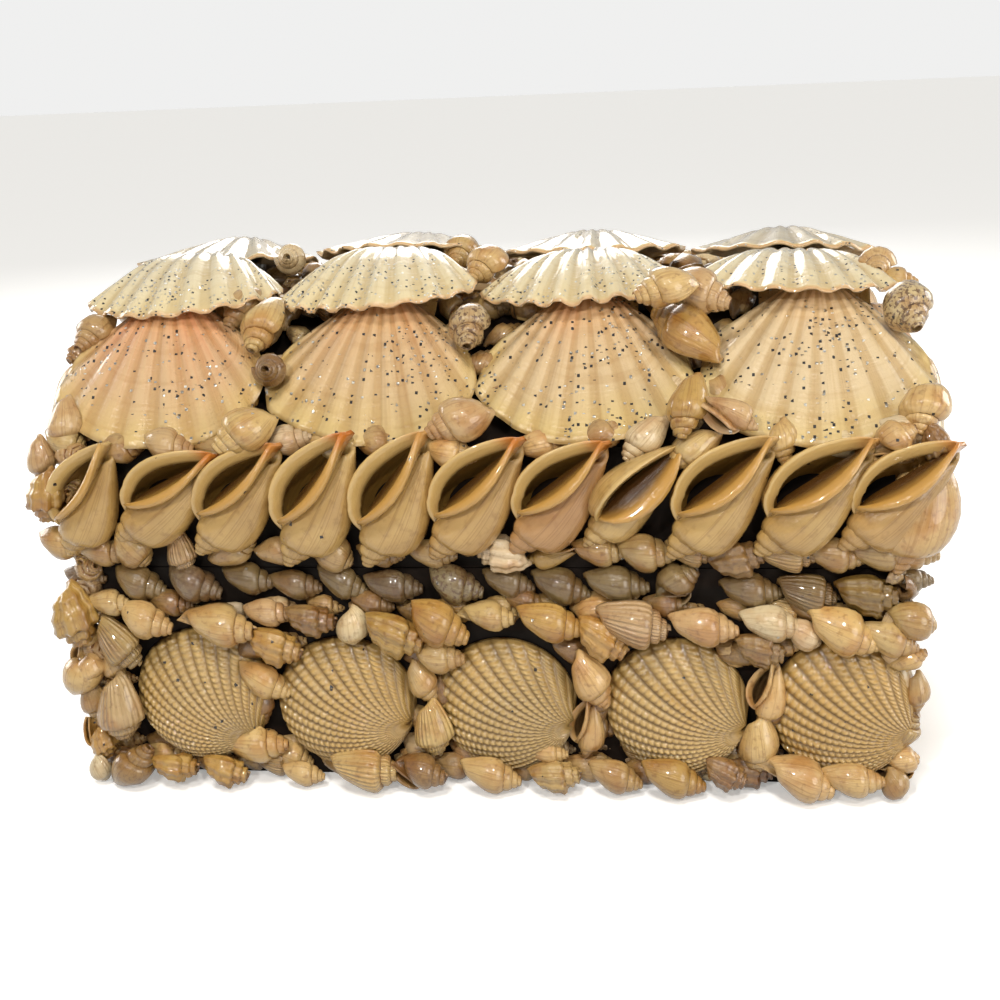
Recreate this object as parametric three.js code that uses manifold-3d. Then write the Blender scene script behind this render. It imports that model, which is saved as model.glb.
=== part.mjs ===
// A keepsake box covered in sea shells: a hollow box body, a hollow lid that lifts off, and the larger shells that
// are glued on, each one a solid of its own. Millimetres, +Z up, the front faces -Y, and the origin is on the
// underside, at the middle of the whole object's footprint.
//
// Four sides share one layout: each is a group turned about Z, so that a shell is placed by how far it lies along
// its side, how far out from the middle of the box, and how high.
import * as THREE from "three";
import { mergeVertices } from "three/addons/utils/BufferGeometryUtils.js";
import Module from "manifold-3d";

// Driving dimensions.
const GAP = 0.3; // left between a shell and what it is glued to
const CONCH_STANDOFF = 1.9; // the glue behind the conchs
const BODY = { width: 246, depth: 176, height: 72, wall: 5, floor: 5 };
const LID = { rim: 38, rise: 32, frontRun: 47, endRun: 10, wall: 4.5, lipDrop: 4, lipWall: 2.5, lipPlay: 0.8 };

// The kinds of shell. A fan shell's height runs from the beak to the rim. Its crown is a power that moves the highest
// point of its dome: the smaller it is, the nearer the beak.
const SCALLOP = {
  width: 66,
  height: 60,
  dome: 9.5,
  wall: 1.8,
  spread: 50,
  fullness: 0.5,
  crown: 0.52,
  pleats: 8,
  pleatDepth: 0.9,
  rows: 4,
};
const SMALL_SCALLOP = { ...SCALLOP, width: 40, height: 33, dome: 6.5, pleats: 5, rows: 3 };
const COCKLE = {
  width: 45,
  height: 45,
  dome: 12.5,
  spread: 68,
  fullness: 1,
  crown: 0.7,
  swell: 1.1,
  beak: 0.25, // how high the beak stands, as a share of the dome
  columns: 12,
  rows: 4,
};
const EDGE_DROP = { share: 0.9, power: 2.5 }; // how far and how late a dome comes down towards its straight edges

// A conch's spire, mouth and lip are shares of its length and girth, and its profile gives girths as shares too.
const CONCH = {
  length: 48,
  girth: 20,
  depth: 16.5,
  spire: 0.24,
  mouth: 0.45,
  lip: 1.06,
  wall: 0.97,
  sides: 9,
  rings: 8,
};
const CONCH_PROFILE = { apex: 0.1, shoulder: 0.85, swell: 1.5, taper: 0.8, power: 1.5 };
const CANAL_END = 0.4; // the last ring lies this many ring steps short of the canal's tip

// Where the shells sit on a side, one entry for each shell in a list. out is from the middle of the box, and angles
// are in degrees. A scallop's tilt is from lying flat, its spin turns it on the spot and its roll lifts its left edge.
const SLOPE_ROW = {
  pitch: 66.4,
  out: 69,
  z: 130,
  tilts: [37, 35, 35, 36],
  spins: [3, -2, 1, -3],
  rolls: [0, 0, 0, 0],
  nudges: [-0.4, 0, -0.6, 1.8],
  lifts: [0, 0, 0, 0],
  sizes: [1, 1, 1, 1.05],
};
const REAR_SLOPE_ROW = {
  ...SLOPE_ROW,
  out: 73,
  z: 127.5,
  spins: [-2, 3, -1, 2],
  nudges: [0.5, -0.3, 0, 0.6],
  sizes: [1, 0.99, 1, 1],
};
const TOP_FRONT_ROW = {
  pitch: 66.4,
  out: 38,
  z: 149.5,
  tilts: [0, 6, 4, -2],
  spins: [-4, -3, -2, 0],
  rolls: [-4, -5, -5, 2],
  nudges: [-0.8, -1.7, -2.8, -1],
  lifts: [0.5, 0.7, 0.2, -1.5],
  sizes: [1, 0.99, 0.99, 1],
};
const TOP_REAR_ROW = {
  pitch: 66.4,
  out: -12,
  z: 152,
  tilts: [-19, -19, -18, -16],
  spins: [2, -1, 2, 0],
  rolls: [0, 0, 0, 2],
  nudges: [-1, -1, -1.8, -1],
  lifts: [1, 0.8, 0, -1],
  sizes: [1, 1, 0.98, 1],
};
const END_ROW = {
  pitch: 41.5,
  out: 132.5,
  z: 115.5,
  tilts: [72, 72, 72, 72],
  spins: [2, -3, 2, -2],
  rolls: [0, 0, 0, 0],
  nudges: [0, 0, 0, 0],
  lifts: [0, 0, 0, 0],
  sizes: [1, 1, 1, 1],
};
const CONCH_ROW = {
  pitch: 24.3,
  z: 97,
  roll: 12,
  leans: [29, 54, 42, 31, 29, 40, 43, 44, 42, 46, 48],
  nudges: [0.5, 3, 1, 0.5, 0, 1, 1.3, -1.5, 0, 2.5, 2],
  sizes: [0.9, 0.98, 1, 1.06, 1.05, 1.04, 1, 0.95, 1.05, 1.06, 1],
};
const END_CONCH_ROW = {
  pitch: 34,
  z: 86.5,
  roll: 150,
  leans: [56, 60, 54, 58],
  nudges: [0, 1, -1, 0.5],
  sizes: [0.84, 0.82, 0.85, 0.82],
};
const COCKLE_ROW = { pitch: 51, shift: 8.3, z: 27, fans: [36, 14, 11, 13, 15], nudges: [2, -2, -1.8, 0.7, 0] };
const END_COCKLE_ROW = { pitch: 51, shift: 0, z: 27, fans: [28, 12, 18], nudges: [0, 1, -1] };
const REAR_COCKLE_ROW = { pitch: 58, shift: 0, z: 27, fans: [14, 18, 12, 16], nudges: [1, -1, 2, 0] };

const COLOURS = {
  wood: { color: 0x17110d, roughness: 0.6, metalness: 0 },
  scallop: { color: 0xe3cfa0, roughness: 0.2, metalness: 0 },
  paleScallop: { color: 0xdcd3b4, roughness: 0.25, metalness: 0 },
  conch: { color: 0xc79a5b, roughness: 0.25, metalness: 0 },
  cockle: { color: 0xc2ac7b, roughness: 0.3, metalness: 0 },
};

const wasm = await Module();
wasm.setup();

const radians = (degrees) => (degrees * Math.PI) / 180;

function closedGeometry(points, triangles) {
  const geometry = new THREE.BufferGeometry();
  geometry.setAttribute("position", new THREE.Float32BufferAttribute(points.flat(), 3));
  geometry.setIndex(triangles.flat());
  geometry.computeVertexNormals();
  return geometry;
}

function toSolid(geometry) {
  const bare = geometry.clone();
  bare.deleteAttribute("normal");
  bare.deleteAttribute("uv");
  const merged = mergeVertices(bare, 1e-4);
  return new wasm.Manifold(
    new wasm.Mesh({
      numProp: 3,
      vertProperties: merged.attributes.position.array,
      triVerts: new Uint32Array(merged.index.array),
    }),
  );
}

function toGeometry(solid) {
  const mesh = solid.getMesh();
  const geometry = new THREE.BufferGeometry();
  geometry.setAttribute("position", new THREE.BufferAttribute(new Float32Array(mesh.vertProperties), 3));
  geometry.setIndex(new THREE.BufferAttribute(new Uint32Array(mesh.triVerts), 1));
  geometry.computeVertexNormals();
  return geometry;
}

// A closed stack of rectangles, each [width, depth, z], from the lowest to the highest.
function rectangleStack(levels) {
  const points = levels.flatMap(([width, depth, z]) => [
    [-width / 2, -depth / 2, z],
    [width / 2, -depth / 2, z],
    [width / 2, depth / 2, z],
    [-width / 2, depth / 2, z],
  ]);
  const triangles = [
    [0, 2, 1],
    [0, 3, 2],
  ];
  for (let level = 0; level + 1 < levels.length; level++) {
    for (let k = 0; k < 4; k++) {
      const a = 4 * level + k;
      const b = 4 * level + ((k + 1) % 4);
      triangles.push([a, b, b + 4], [a, b + 4, a + 4]);
    }
  }
  const top = points.length - 4;
  triangles.push([top, top + 1, top + 2], [top, top + 2, top + 3]);
  return closedGeometry(points, triangles);
}

function boxBody() {
  const { width, depth, height, wall, floor } = BODY;
  const outside = rectangleStack([
    [width, depth, 0],
    [width, depth, height],
  ]);
  const inside = rectangleStack([
    [width - 2 * wall, depth - 2 * wall, floor],
    [width - 2 * wall, depth - 2 * wall, height + 1],
  ]);
  return toGeometry(toSolid(outside).subtract(toSolid(inside)));
}

// The lid has an upright rim, slopes at the front and back, nearly upright ends, a flat top, and a lip that drops
// inside the body.
function boxLid() {
  const { width, depth, height, wall: bodyWall } = BODY;
  const { rim, rise, frontRun, endRun, wall, lipDrop, lipWall, lipPlay } = LID;
  const seat = height + GAP;
  const shoulder = seat + rim;
  const outside = rectangleStack([
    [width, depth, seat],
    [width, depth, shoulder],
    [width - 2 * endRun, depth - 2 * frontRun, shoulder + rise],
  ]);
  const lipInset = 2 * (bodyWall + lipPlay);
  const lip = rectangleStack([
    [width - lipInset, depth - lipInset, seat - lipDrop],
    [width - lipInset, depth - lipInset, seat + wall],
  ]);
  const clear = lipInset + 2 * lipWall;
  const inside = rectangleStack([
    [width - clear, depth - clear, seat - lipDrop - 1],
    [width - clear, depth - clear, shoulder],
    [width - clear - 2 * endRun, depth - clear - 2 * frontRun, shoulder + rise - wall],
  ]);
  return toGeometry(toSolid(outside).add(toSolid(lip)).subtract(toSolid(inside)));
}

// How high a valve stands over its rim plane at share t from the beak (0) to the rim (1): it is fullest near the
// beak and flattens towards the rim.
const domeProfile = (t, crown) => Math.sin(Math.PI * Math.pow(t, crown));

// A valve's outline, seen from its beak: two straight edges at the spread angle, and between them a rim whose
// reach falls away from the middle as a power of the cosine. Its widest point sets the stretch across.
function fanPoint({ width, height, spread, fullness }, across, t) {
  const angle = radians(spread) * across;
  const reach = height * Math.pow(Math.cos(angle), fullness) * t;
  const widest = Math.min(radians(spread), Math.atan(1 / Math.sqrt(fullness)));
  const halfWidth = height * Math.pow(Math.cos(widest), fullness) * Math.sin(widest);
  return [(reach * Math.sin(angle) * width) / (2 * halfWidth), height / 2 - reach * Math.cos(angle)];
}

// How much of the dome is left towards the straight edges.
const domeAcross = (across) => 1 - EDGE_DROP.share * Math.pow(Math.abs(across), EDGE_DROP.power);

// A scallop valve: two pleated skins a wall apart, joined round the rim and along both straight edges.
function scallopGeometry(kind) {
  const { dome, wall, crown, pleats, pleatDepth, rows } = kind;
  const columns = 2 * pleats;
  const points = [];
  const skin = (lift) => {
    const at = [];
    for (let row = 0; row <= rows; row++) {
      const t = row / rows;
      for (let column = 0; column <= (row ? columns : 0); column++) {
        const across = row ? (2 * column) / columns - 1 : 0;
        const pleat = column % 2 ? pleatDepth : -pleatDepth;
        const [x, y] = fanPoint(kind, across, t);
        at.push(points.length);
        points.push([x, y, lift + pleatDepth + dome * domeProfile(t, crown) * domeAcross(across) + pleat * t]);
      }
    }
    return (row, column) => at[row ? 1 + (row - 1) * (columns + 1) + column : 0];
  };
  const outer = skin(wall);
  const inner = skin(0);
  const triangles = [];
  for (let column = 0; column < columns; column++) {
    triangles.push([outer(0, 0), outer(1, column), outer(1, column + 1)]);
    triangles.push([inner(0, 0), inner(1, column + 1), inner(1, column)]);
    for (let row = 1; row < rows; row++) {
      const corners = (skinAt) => [
        skinAt(row, column),
        skinAt(row + 1, column),
        skinAt(row + 1, column + 1),
        skinAt(row, column + 1),
      ];
      const [a, b, c, d] = corners(outer);
      triangles.push([a, b, c], [a, c, d]);
      const [e, f, g, h] = corners(inner);
      triangles.push([e, g, f], [e, h, g]);
    }
    const [a, b] = [outer(rows, column), outer(rows, column + 1)];
    const [c, d] = [inner(rows, column), inner(rows, column + 1)];
    triangles.push([a, c, d], [a, d, b]);
  }
  for (let row = 0; row < rows; row++) {
    for (const [column, turn] of [
      [0, 1],
      [columns, -1],
    ]) {
      const [a, b] = [outer(row, column), outer(row + 1, column)];
      const [c, d] = [inner(row, column), inner(row + 1, column)];
      triangles.push(...(turn > 0 ? [[a, c, d], [a, d, b]] : [[a, d, c], [a, b, d]]));
    }
  }
  return closedGeometry(points, triangles);
}

// A cockle is fuller than a scallop, and comes down steeply all round.
const fullProfile = (t, { crown, swell }) => swell * Math.sqrt(domeProfile(t, crown));

// A cockle valve bedded on its glue: a full dome over a flat underside.
function cockleGeometry(kind) {
  const { dome, columns, rows } = kind;
  const points = [[0, kind.height / 2, kind.beak * dome]];
  for (let row = 1; row <= rows; row++) {
    for (let column = 0; column <= columns; column++) {
      const across = (2 * column) / columns - 1;
      const [x, y] = fanPoint(kind, across, row / rows);
      const edge = Math.abs(across) === 1 || row === rows;
      const sides = 1 - Math.pow(Math.abs(across), EDGE_DROP.power);
      points.push([x, y, edge ? 0 : dome * fullProfile(row / rows, kind) * sides]);
    }
  }
  points.push([0, 0, 0]);
  const at = (row, column) => (row ? 1 + (row - 1) * (columns + 1) + column : 0);
  const middle = points.length - 1;
  const triangles = [];
  for (let column = 0; column < columns; column++) {
    triangles.push([at(0, 0), at(1, column), at(1, column + 1)]);
    triangles.push([middle, at(rows, column + 1), at(rows, column)]);
    for (let row = 1; row < rows; row++) {
      const [a, b, c, d] = [at(row, column), at(row + 1, column), at(row + 1, column + 1), at(row, column + 1)];
      triangles.push([a, b, c], [a, c, d]);
    }
  }
  for (let row = 0; row < rows; row++) {
    triangles.push([middle, at(row + 1, 0), at(row, 0)]);
    triangles.push([middle, at(row, columns), at(row + 1, columns)]);
  }
  return closedGeometry(points, triangles);
}

// A conch's girth at share t from the apex (0) to the end of the canal (1): a straight spire, a full shoulder, and
// a long taper to a blunt canal.
function conchProfile(t, spire) {
  const { apex, shoulder, swell, taper, power } = CONCH_PROFILE;
  if (t < spire) return apex + (shoulder - apex) * (t / spire);
  const along = (t - spire) / (1 - spire);
  return Math.min(1, shoulder + swell * along) * (1 - taper * Math.pow(along, power));
}

// A conch stands on its apex: spire below, canal above. Its mouth is a groove that faces -Y under a flared lip.
function conchGeometry({ length, girth, depth, spire, mouth, lip, wall, sides, rings }) {
  const lipSide = sides - 1;
  const points = [[0, 0, 0]];
  for (let ring = 1; ring <= rings; ring++) {
    const t = ring / (rings + CANAL_END);
    for (let side = 0; side < sides; side++) {
      const angle = (2 * Math.PI * side) / sides - Math.PI / 2;
      const share = side === 0 ? mouth : side === lipSide ? lip : wall;
      const radius = conchProfile(t, spire) * (t > spire ? share : wall);
      points.push([(girth / 2) * radius * Math.cos(angle), (depth / 2) * radius * Math.sin(angle), t * length]);
    }
  }
  points.push([0, 0, length]);
  const at = (ring, side) => 1 + (ring - 1) * sides + (side % sides);
  const tip = points.length - 1;
  const triangles = [];
  for (let side = 0; side < sides; side++) {
    triangles.push([0, at(1, side + 1), at(1, side)]);
    triangles.push([tip, at(rings, side), at(rings, side + 1)]);
    for (let ring = 1; ring < rings; ring++) {
      const [a, b, c, d] = [at(ring, side), at(ring, side + 1), at(ring + 1, side + 1), at(ring + 1, side)];
      triangles.push([a, b, c], [a, c, d]);
    }
  }
  return closedGeometry(points, triangles).translate(0, 0, -length / 2);
}

const shellBox = new THREE.Group();

function addMesh(parent, name, geometry, finish) {
  const mesh = new THREE.Mesh(geometry, new THREE.MeshStandardMaterial(finish));
  mesh.name = name;
  parent.add(mesh);
  return mesh;
}

function addSide(turn) {
  const side = new THREE.Group();
  side.rotation.z = radians(turn);
  shellBox.add(side);
  return side;
}

// How far along a side the shell with this index lies, in a row centred on the side.
const alongRow = (index, count, pitch, shift = 0) => (index - (count - 1) / 2) * pitch + shift;

function addScallopRow(side, name, kind, row, finish) {
  const geometry = scallopGeometry(kind);
  row.spins.forEach((spin, k) => {
    const mesh = addMesh(side, `${name}_${k + 1}`, geometry, finish);
    mesh.position.set(alongRow(k, row.spins.length, row.pitch, row.nudges[k]), -row.out, row.z + row.lifts[k]);
    mesh.rotation.set(radians(row.tilts[k]), radians(row.rolls[k]), radians(spin));
    mesh.scale.setScalar(row.sizes[k]);
  });
}

// The conchs stand on the wall of the lid's rim, each leaning towards the next.
function addConchRow(side, name, wallOut, row) {
  const geometry = conchGeometry(CONCH);
  row.leans.forEach((lean, k) => {
    const mesh = addMesh(side, `${name}_${k + 1}`, geometry, COLOURS.conch);
    const along = alongRow(k, row.leans.length, row.pitch, row.nudges[k]);
    mesh.position.set(along, -(wallOut + CONCH_STANDOFF + (CONCH.depth * row.sizes[k]) / 2), row.z);
    mesh.rotation.set(0, radians(lean), radians(row.roll));
    mesh.scale.setScalar(row.sizes[k]);
  });
}

// A fan angle of 0 points the rim along the wall to the left, and a positive one lifts it.
function addCockleRow(side, name, wallOut, row) {
  const geometry = cockleGeometry(COCKLE);
  row.fans.forEach((fan, k) => {
    const mesh = addMesh(side, `${name}_${k + 1}`, geometry, COLOURS.cockle);
    const along = alongRow(k, row.fans.length, row.pitch, row.shift + row.nudges[k]);
    mesh.position.set(along, -(wallOut + GAP), row.z);
    mesh.rotation.set(radians(90), 0, radians(-90 - fan));
  });
}

addMesh(shellBox, "box_body", boxBody(), COLOURS.wood);
addMesh(shellBox, "box_lid", boxLid(), COLOURS.wood);

const front = addSide(0);
addScallopRow(front, "front_slope_scallop", SCALLOP, SLOPE_ROW, COLOURS.scallop);
addScallopRow(front, "top_front_scallop", SCALLOP, TOP_FRONT_ROW, COLOURS.paleScallop);
addScallopRow(front, "top_rear_scallop", SCALLOP, TOP_REAR_ROW, COLOURS.paleScallop);
addConchRow(front, "front_conch", BODY.depth / 2, CONCH_ROW);
addCockleRow(front, "front_cockle", BODY.depth / 2, COCKLE_ROW);

const back = addSide(180);
addScallopRow(back, "back_slope_scallop", SCALLOP, REAR_SLOPE_ROW, COLOURS.scallop);
addCockleRow(back, "back_cockle", BODY.depth / 2, REAR_COCKLE_ROW);

for (const [name, turn] of [
  ["right", 90],
  ["left", -90],
]) {
  const end = addSide(turn);
  addScallopRow(end, `${name}_end_scallop`, SMALL_SCALLOP, END_ROW, COLOURS.scallop);
  addConchRow(end, `${name}_conch`, BODY.width / 2, END_CONCH_ROW);
  addCockleRow(end, `${name}_cockle`, BODY.width / 2, END_COCKLE_ROW);
}

// The footprint's middle goes to the origin, because the conchs at the front stand further out than the back does.
const footprint = new THREE.Box3().setFromObject(shellBox, true).getCenter(new THREE.Vector3());
shellBox.position.set(-footprint.x, -footprint.y, 0);

export default shellBox;
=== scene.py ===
# A keepsake box covered in glued and lacquered sea shells: scallops over the lid, a row of conchs round its
# rim, beaded cockles round the base, and small shells filling every gap. Sizes are in millimetres unless a
# name says otherwise; makePiece turns them into metres.
import math

import bpy
import numpy as np
from mathutils import Matrix, Vector


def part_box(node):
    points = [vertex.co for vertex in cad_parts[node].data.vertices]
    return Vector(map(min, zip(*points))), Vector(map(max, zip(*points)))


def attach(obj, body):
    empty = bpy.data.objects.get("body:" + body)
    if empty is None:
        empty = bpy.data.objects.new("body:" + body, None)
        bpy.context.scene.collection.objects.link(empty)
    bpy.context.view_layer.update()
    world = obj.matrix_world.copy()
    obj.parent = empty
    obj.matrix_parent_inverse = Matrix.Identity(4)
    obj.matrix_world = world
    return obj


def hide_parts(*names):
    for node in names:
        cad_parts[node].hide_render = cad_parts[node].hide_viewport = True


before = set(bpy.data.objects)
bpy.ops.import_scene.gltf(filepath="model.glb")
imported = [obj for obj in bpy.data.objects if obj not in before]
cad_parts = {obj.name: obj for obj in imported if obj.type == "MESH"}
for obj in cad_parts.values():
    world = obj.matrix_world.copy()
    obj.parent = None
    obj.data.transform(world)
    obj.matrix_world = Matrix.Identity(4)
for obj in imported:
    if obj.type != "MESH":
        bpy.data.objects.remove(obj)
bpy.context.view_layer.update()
mm = 0.001

# The four sides share one layout, drawn as seen from the front and turned about Z to each side.
sideTurns = {"front": 0, "right": 90, "back": 180, "left": -90}
bodyLow, bodyHigh = (np.array(corner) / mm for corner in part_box("box_body"))
boxMiddle = (bodyLow + bodyHigh) / 2
halfWidth, halfDepth = ((bodyHigh - bodyLow) / 2)[:2]
wallOut = {"front": halfDepth, "back": halfDepth, "right": halfWidth, "left": halfWidth}
# how far a shell may stand off each wall
wallRoom = {"front": 18.4, "back": 13.2, "right": 17.8, "left": 17.6}
wallHalf = {"front": halfWidth, "back": halfWidth, "right": halfDepth, "left": halfDepth}


camera = {"azimuth": 7.4, "elevation": 18, "roll": -2.5, "lens": 48.5, "aim": (-4.4, 2.5, 65.2),
          "distance": 500}
sun = {"watts": 1.42, "softness": 12, "azimuth": -14, "elevation": 68, "colour": (1.0, 0.97, 0.92)}
lamps = [
    # name, place, watts, size across, colour
    ("fill lamp", (700, -620, 260), 2.2, 500, (1.0, 0.95, 0.88)),
    ("back lamp", (-160, 900, 620), 3.6, 600, (1.0, 0.96, 0.92)),
    ("right side lamp", (900, 250, 320), 3.0, 500, (1.0, 0.97, 0.92)),
    ("left side lamp", (-900, 250, 320), 3.0, 500, (1.0, 0.97, 0.92)),
    ("left spark", (-150, -700, 520), 1.8, 30, (1.0, 0.97, 0.92)),
    ("right spark", (210, -640, 640), 1.6, 26, (1.0, 0.97, 0.92)),
]
studio = {
    "seen": (0.87, 0.87, 0.865), "glow": (0.135, 0.132, 0.126), "floorSeen": (0.93, 0.93, 0.925),
    "floorLit": (0.56, 0.55, 0.53), "floorLift": (0.32, 0.32, 0.315), "floorHalf": 9000, "mirrored": 0.4,
}


def makeCamera():
    azimuth, elevation, roll = (math.radians(camera[key]) for key in ("azimuth", "elevation", "roll"))
    back = Vector((
        math.sin(azimuth) * math.cos(elevation),
        -math.cos(azimuth) * math.cos(elevation),
        math.sin(elevation),
    ))
    right = Vector((math.cos(azimuth), math.sin(azimuth), 0))
    up = back.cross(right)
    right, up = (
        math.cos(roll) * right + math.sin(roll) * up,
        math.cos(roll) * up - math.sin(roll) * right,
    )
    data = bpy.data.cameras.new("camera")
    data.lens = camera["lens"]
    data.sensor_width = 36
    data.clip_start = 0.01
    eye = bpy.data.objects.new("camera", data)
    place = (Vector(camera["aim"]) + back * camera["distance"]) * mm
    eye.matrix_world = Matrix.Translation(place) @ Matrix((right, up, back)).transposed().to_4x4()
    bpy.context.scene.collection.objects.link(eye)
    bpy.context.scene.camera = eye


def seenOrLit(tree, socket, seen, lit):
    # the studio looks pale to the eye and in the lacquer, but throws less light on the shells, so that the
    # gaps between them stay dark
    rays = tree.nodes.new("ShaderNodeLightPath")
    share = tree.nodes.new("ShaderNodeMath")
    share.operation = "MULTIPLY_ADD"
    share.use_clamp = True
    share.inputs[1].default_value = studio["mirrored"]
    tree.links.new(rays.outputs["Is Glossy Ray"], share.inputs[0])
    tree.links.new(rays.outputs["Is Camera Ray"], share.inputs[2])
    mix = tree.nodes.new("ShaderNodeMix")
    mix.data_type = "RGBA"
    mix.inputs[6].default_value = (*lit, 1)
    mix.inputs[7].default_value = (*seen, 1)
    tree.links.new(share.outputs[0], mix.inputs["Factor"])
    tree.links.new(mix.outputs[2], socket)


def makeLights():
    azimuth, elevation = math.radians(sun["azimuth"]), math.radians(sun["elevation"])
    data = bpy.data.lights.new("key sun", "SUN")
    data.energy = sun["watts"]
    data.angle = math.radians(sun["softness"])
    data.color = sun["colour"]
    lamp = bpy.data.objects.new("key sun", data)
    towards = Vector((
        math.sin(azimuth) * math.cos(elevation),
        -math.cos(azimuth) * math.cos(elevation),
        math.sin(elevation),
    ))
    lamp.rotation_euler = (-towards).to_track_quat("-Z", "Y").to_euler()
    lamp.visible_glossy = False  # the lacquer mirrors only the small spark lamps
    bpy.context.scene.collection.objects.link(lamp)
    for name, place, watts, size, colour in lamps:
        data = bpy.data.lights.new(name, "AREA")
        data.shape = "DISK"
        data.size = size * mm
        data.energy = watts
        data.color = colour
        lamp = bpy.data.objects.new(name, data)
        lamp.location = Vector(place) * mm
        aim = Vector((0, 0, 70)) * mm - lamp.location
        lamp.rotation_euler = aim.to_track_quat("-Z", "Y").to_euler()
        bpy.context.scene.collection.objects.link(lamp)
    world = bpy.data.worlds.new("studio")
    world.use_nodes = True
    background = world.node_tree.nodes["Background"]
    seenOrLit(world.node_tree, background.inputs["Color"], studio["seen"], studio["glow"])
    bpy.context.scene.world = world
    bpy.context.scene.view_settings.view_transform = "Standard"


def makeFloor():
    half = studio["floorHalf"] * mm
    mesh = bpy.data.meshes.new("floor")
    mesh.from_pydata([(-half, -half, 0), (half, -half, 0), (half, half, 0), (-half, half, 0)], [],
                     [(0, 1, 2, 3)])
    floor = bpy.data.objects.new("floor", mesh)
    bpy.context.scene.collection.objects.link(floor)
    finish = bpy.data.materials.new("floor paper")
    finish.use_nodes = True
    shader = finish.node_tree.nodes["Principled BSDF"]
    seenOrLit(finish.node_tree, shader.inputs["Base Color"], studio["floorSeen"], studio["floorLit"])
    seenOrLit(finish.node_tree, shader.inputs["Emission Color"], studio["floorLift"], (0, 0, 0))
    shader.inputs["Emission Strength"].default_value = 1.0
    shader.inputs["Roughness"].default_value = 0.9
    mesh.materials.append(finish)


makeCamera()
makeLights()
makeFloor()
print("camera, lights and floor made")


def feed(tree, socket, value):
    # a socket takes another node's output, or a plain value
    if isinstance(value, bpy.types.NodeSocket):
        tree.links.new(value, socket)
    elif isinstance(value, tuple) and len(value) == 3 and socket.type == "RGBA":
        socket.default_value = (*value, 1)
    else:
        socket.default_value = value


def addNode(tree, kind, settings=None, **inputs):
    node = tree.nodes.new(kind)
    for key, value in (settings or {}).items():
        setattr(node, key, value)
    for key, value in inputs.items():
        feed(tree, node.inputs[key.replace("_", " ")], value)
    return node


def attribute(tree, name, output="Fac"):
    return addNode(tree, "ShaderNodeAttribute", {"attribute_name": name}).outputs[output]


def maths(tree, operation, first, second=0.0, clamp=False):
    node = tree.nodes.new("ShaderNodeMath")
    node.operation = operation
    node.use_clamp = clamp
    feed(tree, node.inputs[0], first)
    feed(tree, node.inputs[1], second)
    return node.outputs[0]


def blend(tree, share, first, second, how="MIX"):
    node = tree.nodes.new("ShaderNodeMix")
    node.data_type = "RGBA"
    node.blend_type = how
    feed(tree, node.inputs["Factor"], share)
    feed(tree, node.inputs[6], first)
    feed(tree, node.inputs[7], second)
    return node.outputs[2]


def fade(tree, value, start, end, low=0.0, high=1.0):
    # smoothly from low, where the value is at start, to high, where it is at end
    node = tree.nodes.new("ShaderNodeMapRange")
    node.interpolation_type = "SMOOTHSTEP"
    for socket, number in zip(node.inputs[:5], (value, start, end, low, high)):
        feed(tree, socket, number)
    return node.outputs[0]


def noise(tree, vector, scale, detail=2.0, output="Fac"):
    node = addNode(tree, "ShaderNodeTexNoise", Vector=vector, Scale=scale, Detail=detail)
    return node.outputs[output]


def objectPlace(tree):
    return addNode(tree, "ShaderNodeTexCoord").outputs["Object"]


def combined(tree, x, y, z=0.0):
    return addNode(tree, "ShaderNodeCombineXYZ", X=x, Y=y, Z=z).outputs[0]


def newGroup(name, inputs, outputs):
    group = bpy.data.node_groups.new(name, "ShaderNodeTree")
    for label, kind, value in inputs:
        socket = group.interface.new_socket(label, in_out="INPUT", socket_type=kind)
        if value is not None:
            socket.default_value = value
    for label, kind in outputs:
        group.interface.new_socket(label, in_out="OUTPUT", socket_type=kind)
    return group, group.nodes.new("NodeGroupInput"), group.nodes.new("NodeGroupOutput")


def useGroup(tree, group, **inputs):
    node = tree.nodes.new("ShaderNodeGroup")
    node.node_tree = group
    for key, value in inputs.items():
        feed(tree, node.inputs[key.replace("_", " ")], value)
    return node.outputs


def newFinish(name, roughness, coat=1.0, coatRoughness=0.04):
    material = bpy.data.materials.new(name)
    material.use_nodes = True
    shader = material.node_tree.nodes["Principled BSDF"]
    shader.inputs["Roughness"].default_value = roughness
    shader.inputs["Coat Weight"].default_value = coat
    shader.inputs["Coat Roughness"].default_value = coatRoughness
    shader.inputs["IOR"].default_value = 1.5
    return material, material.node_tree, shader


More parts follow.
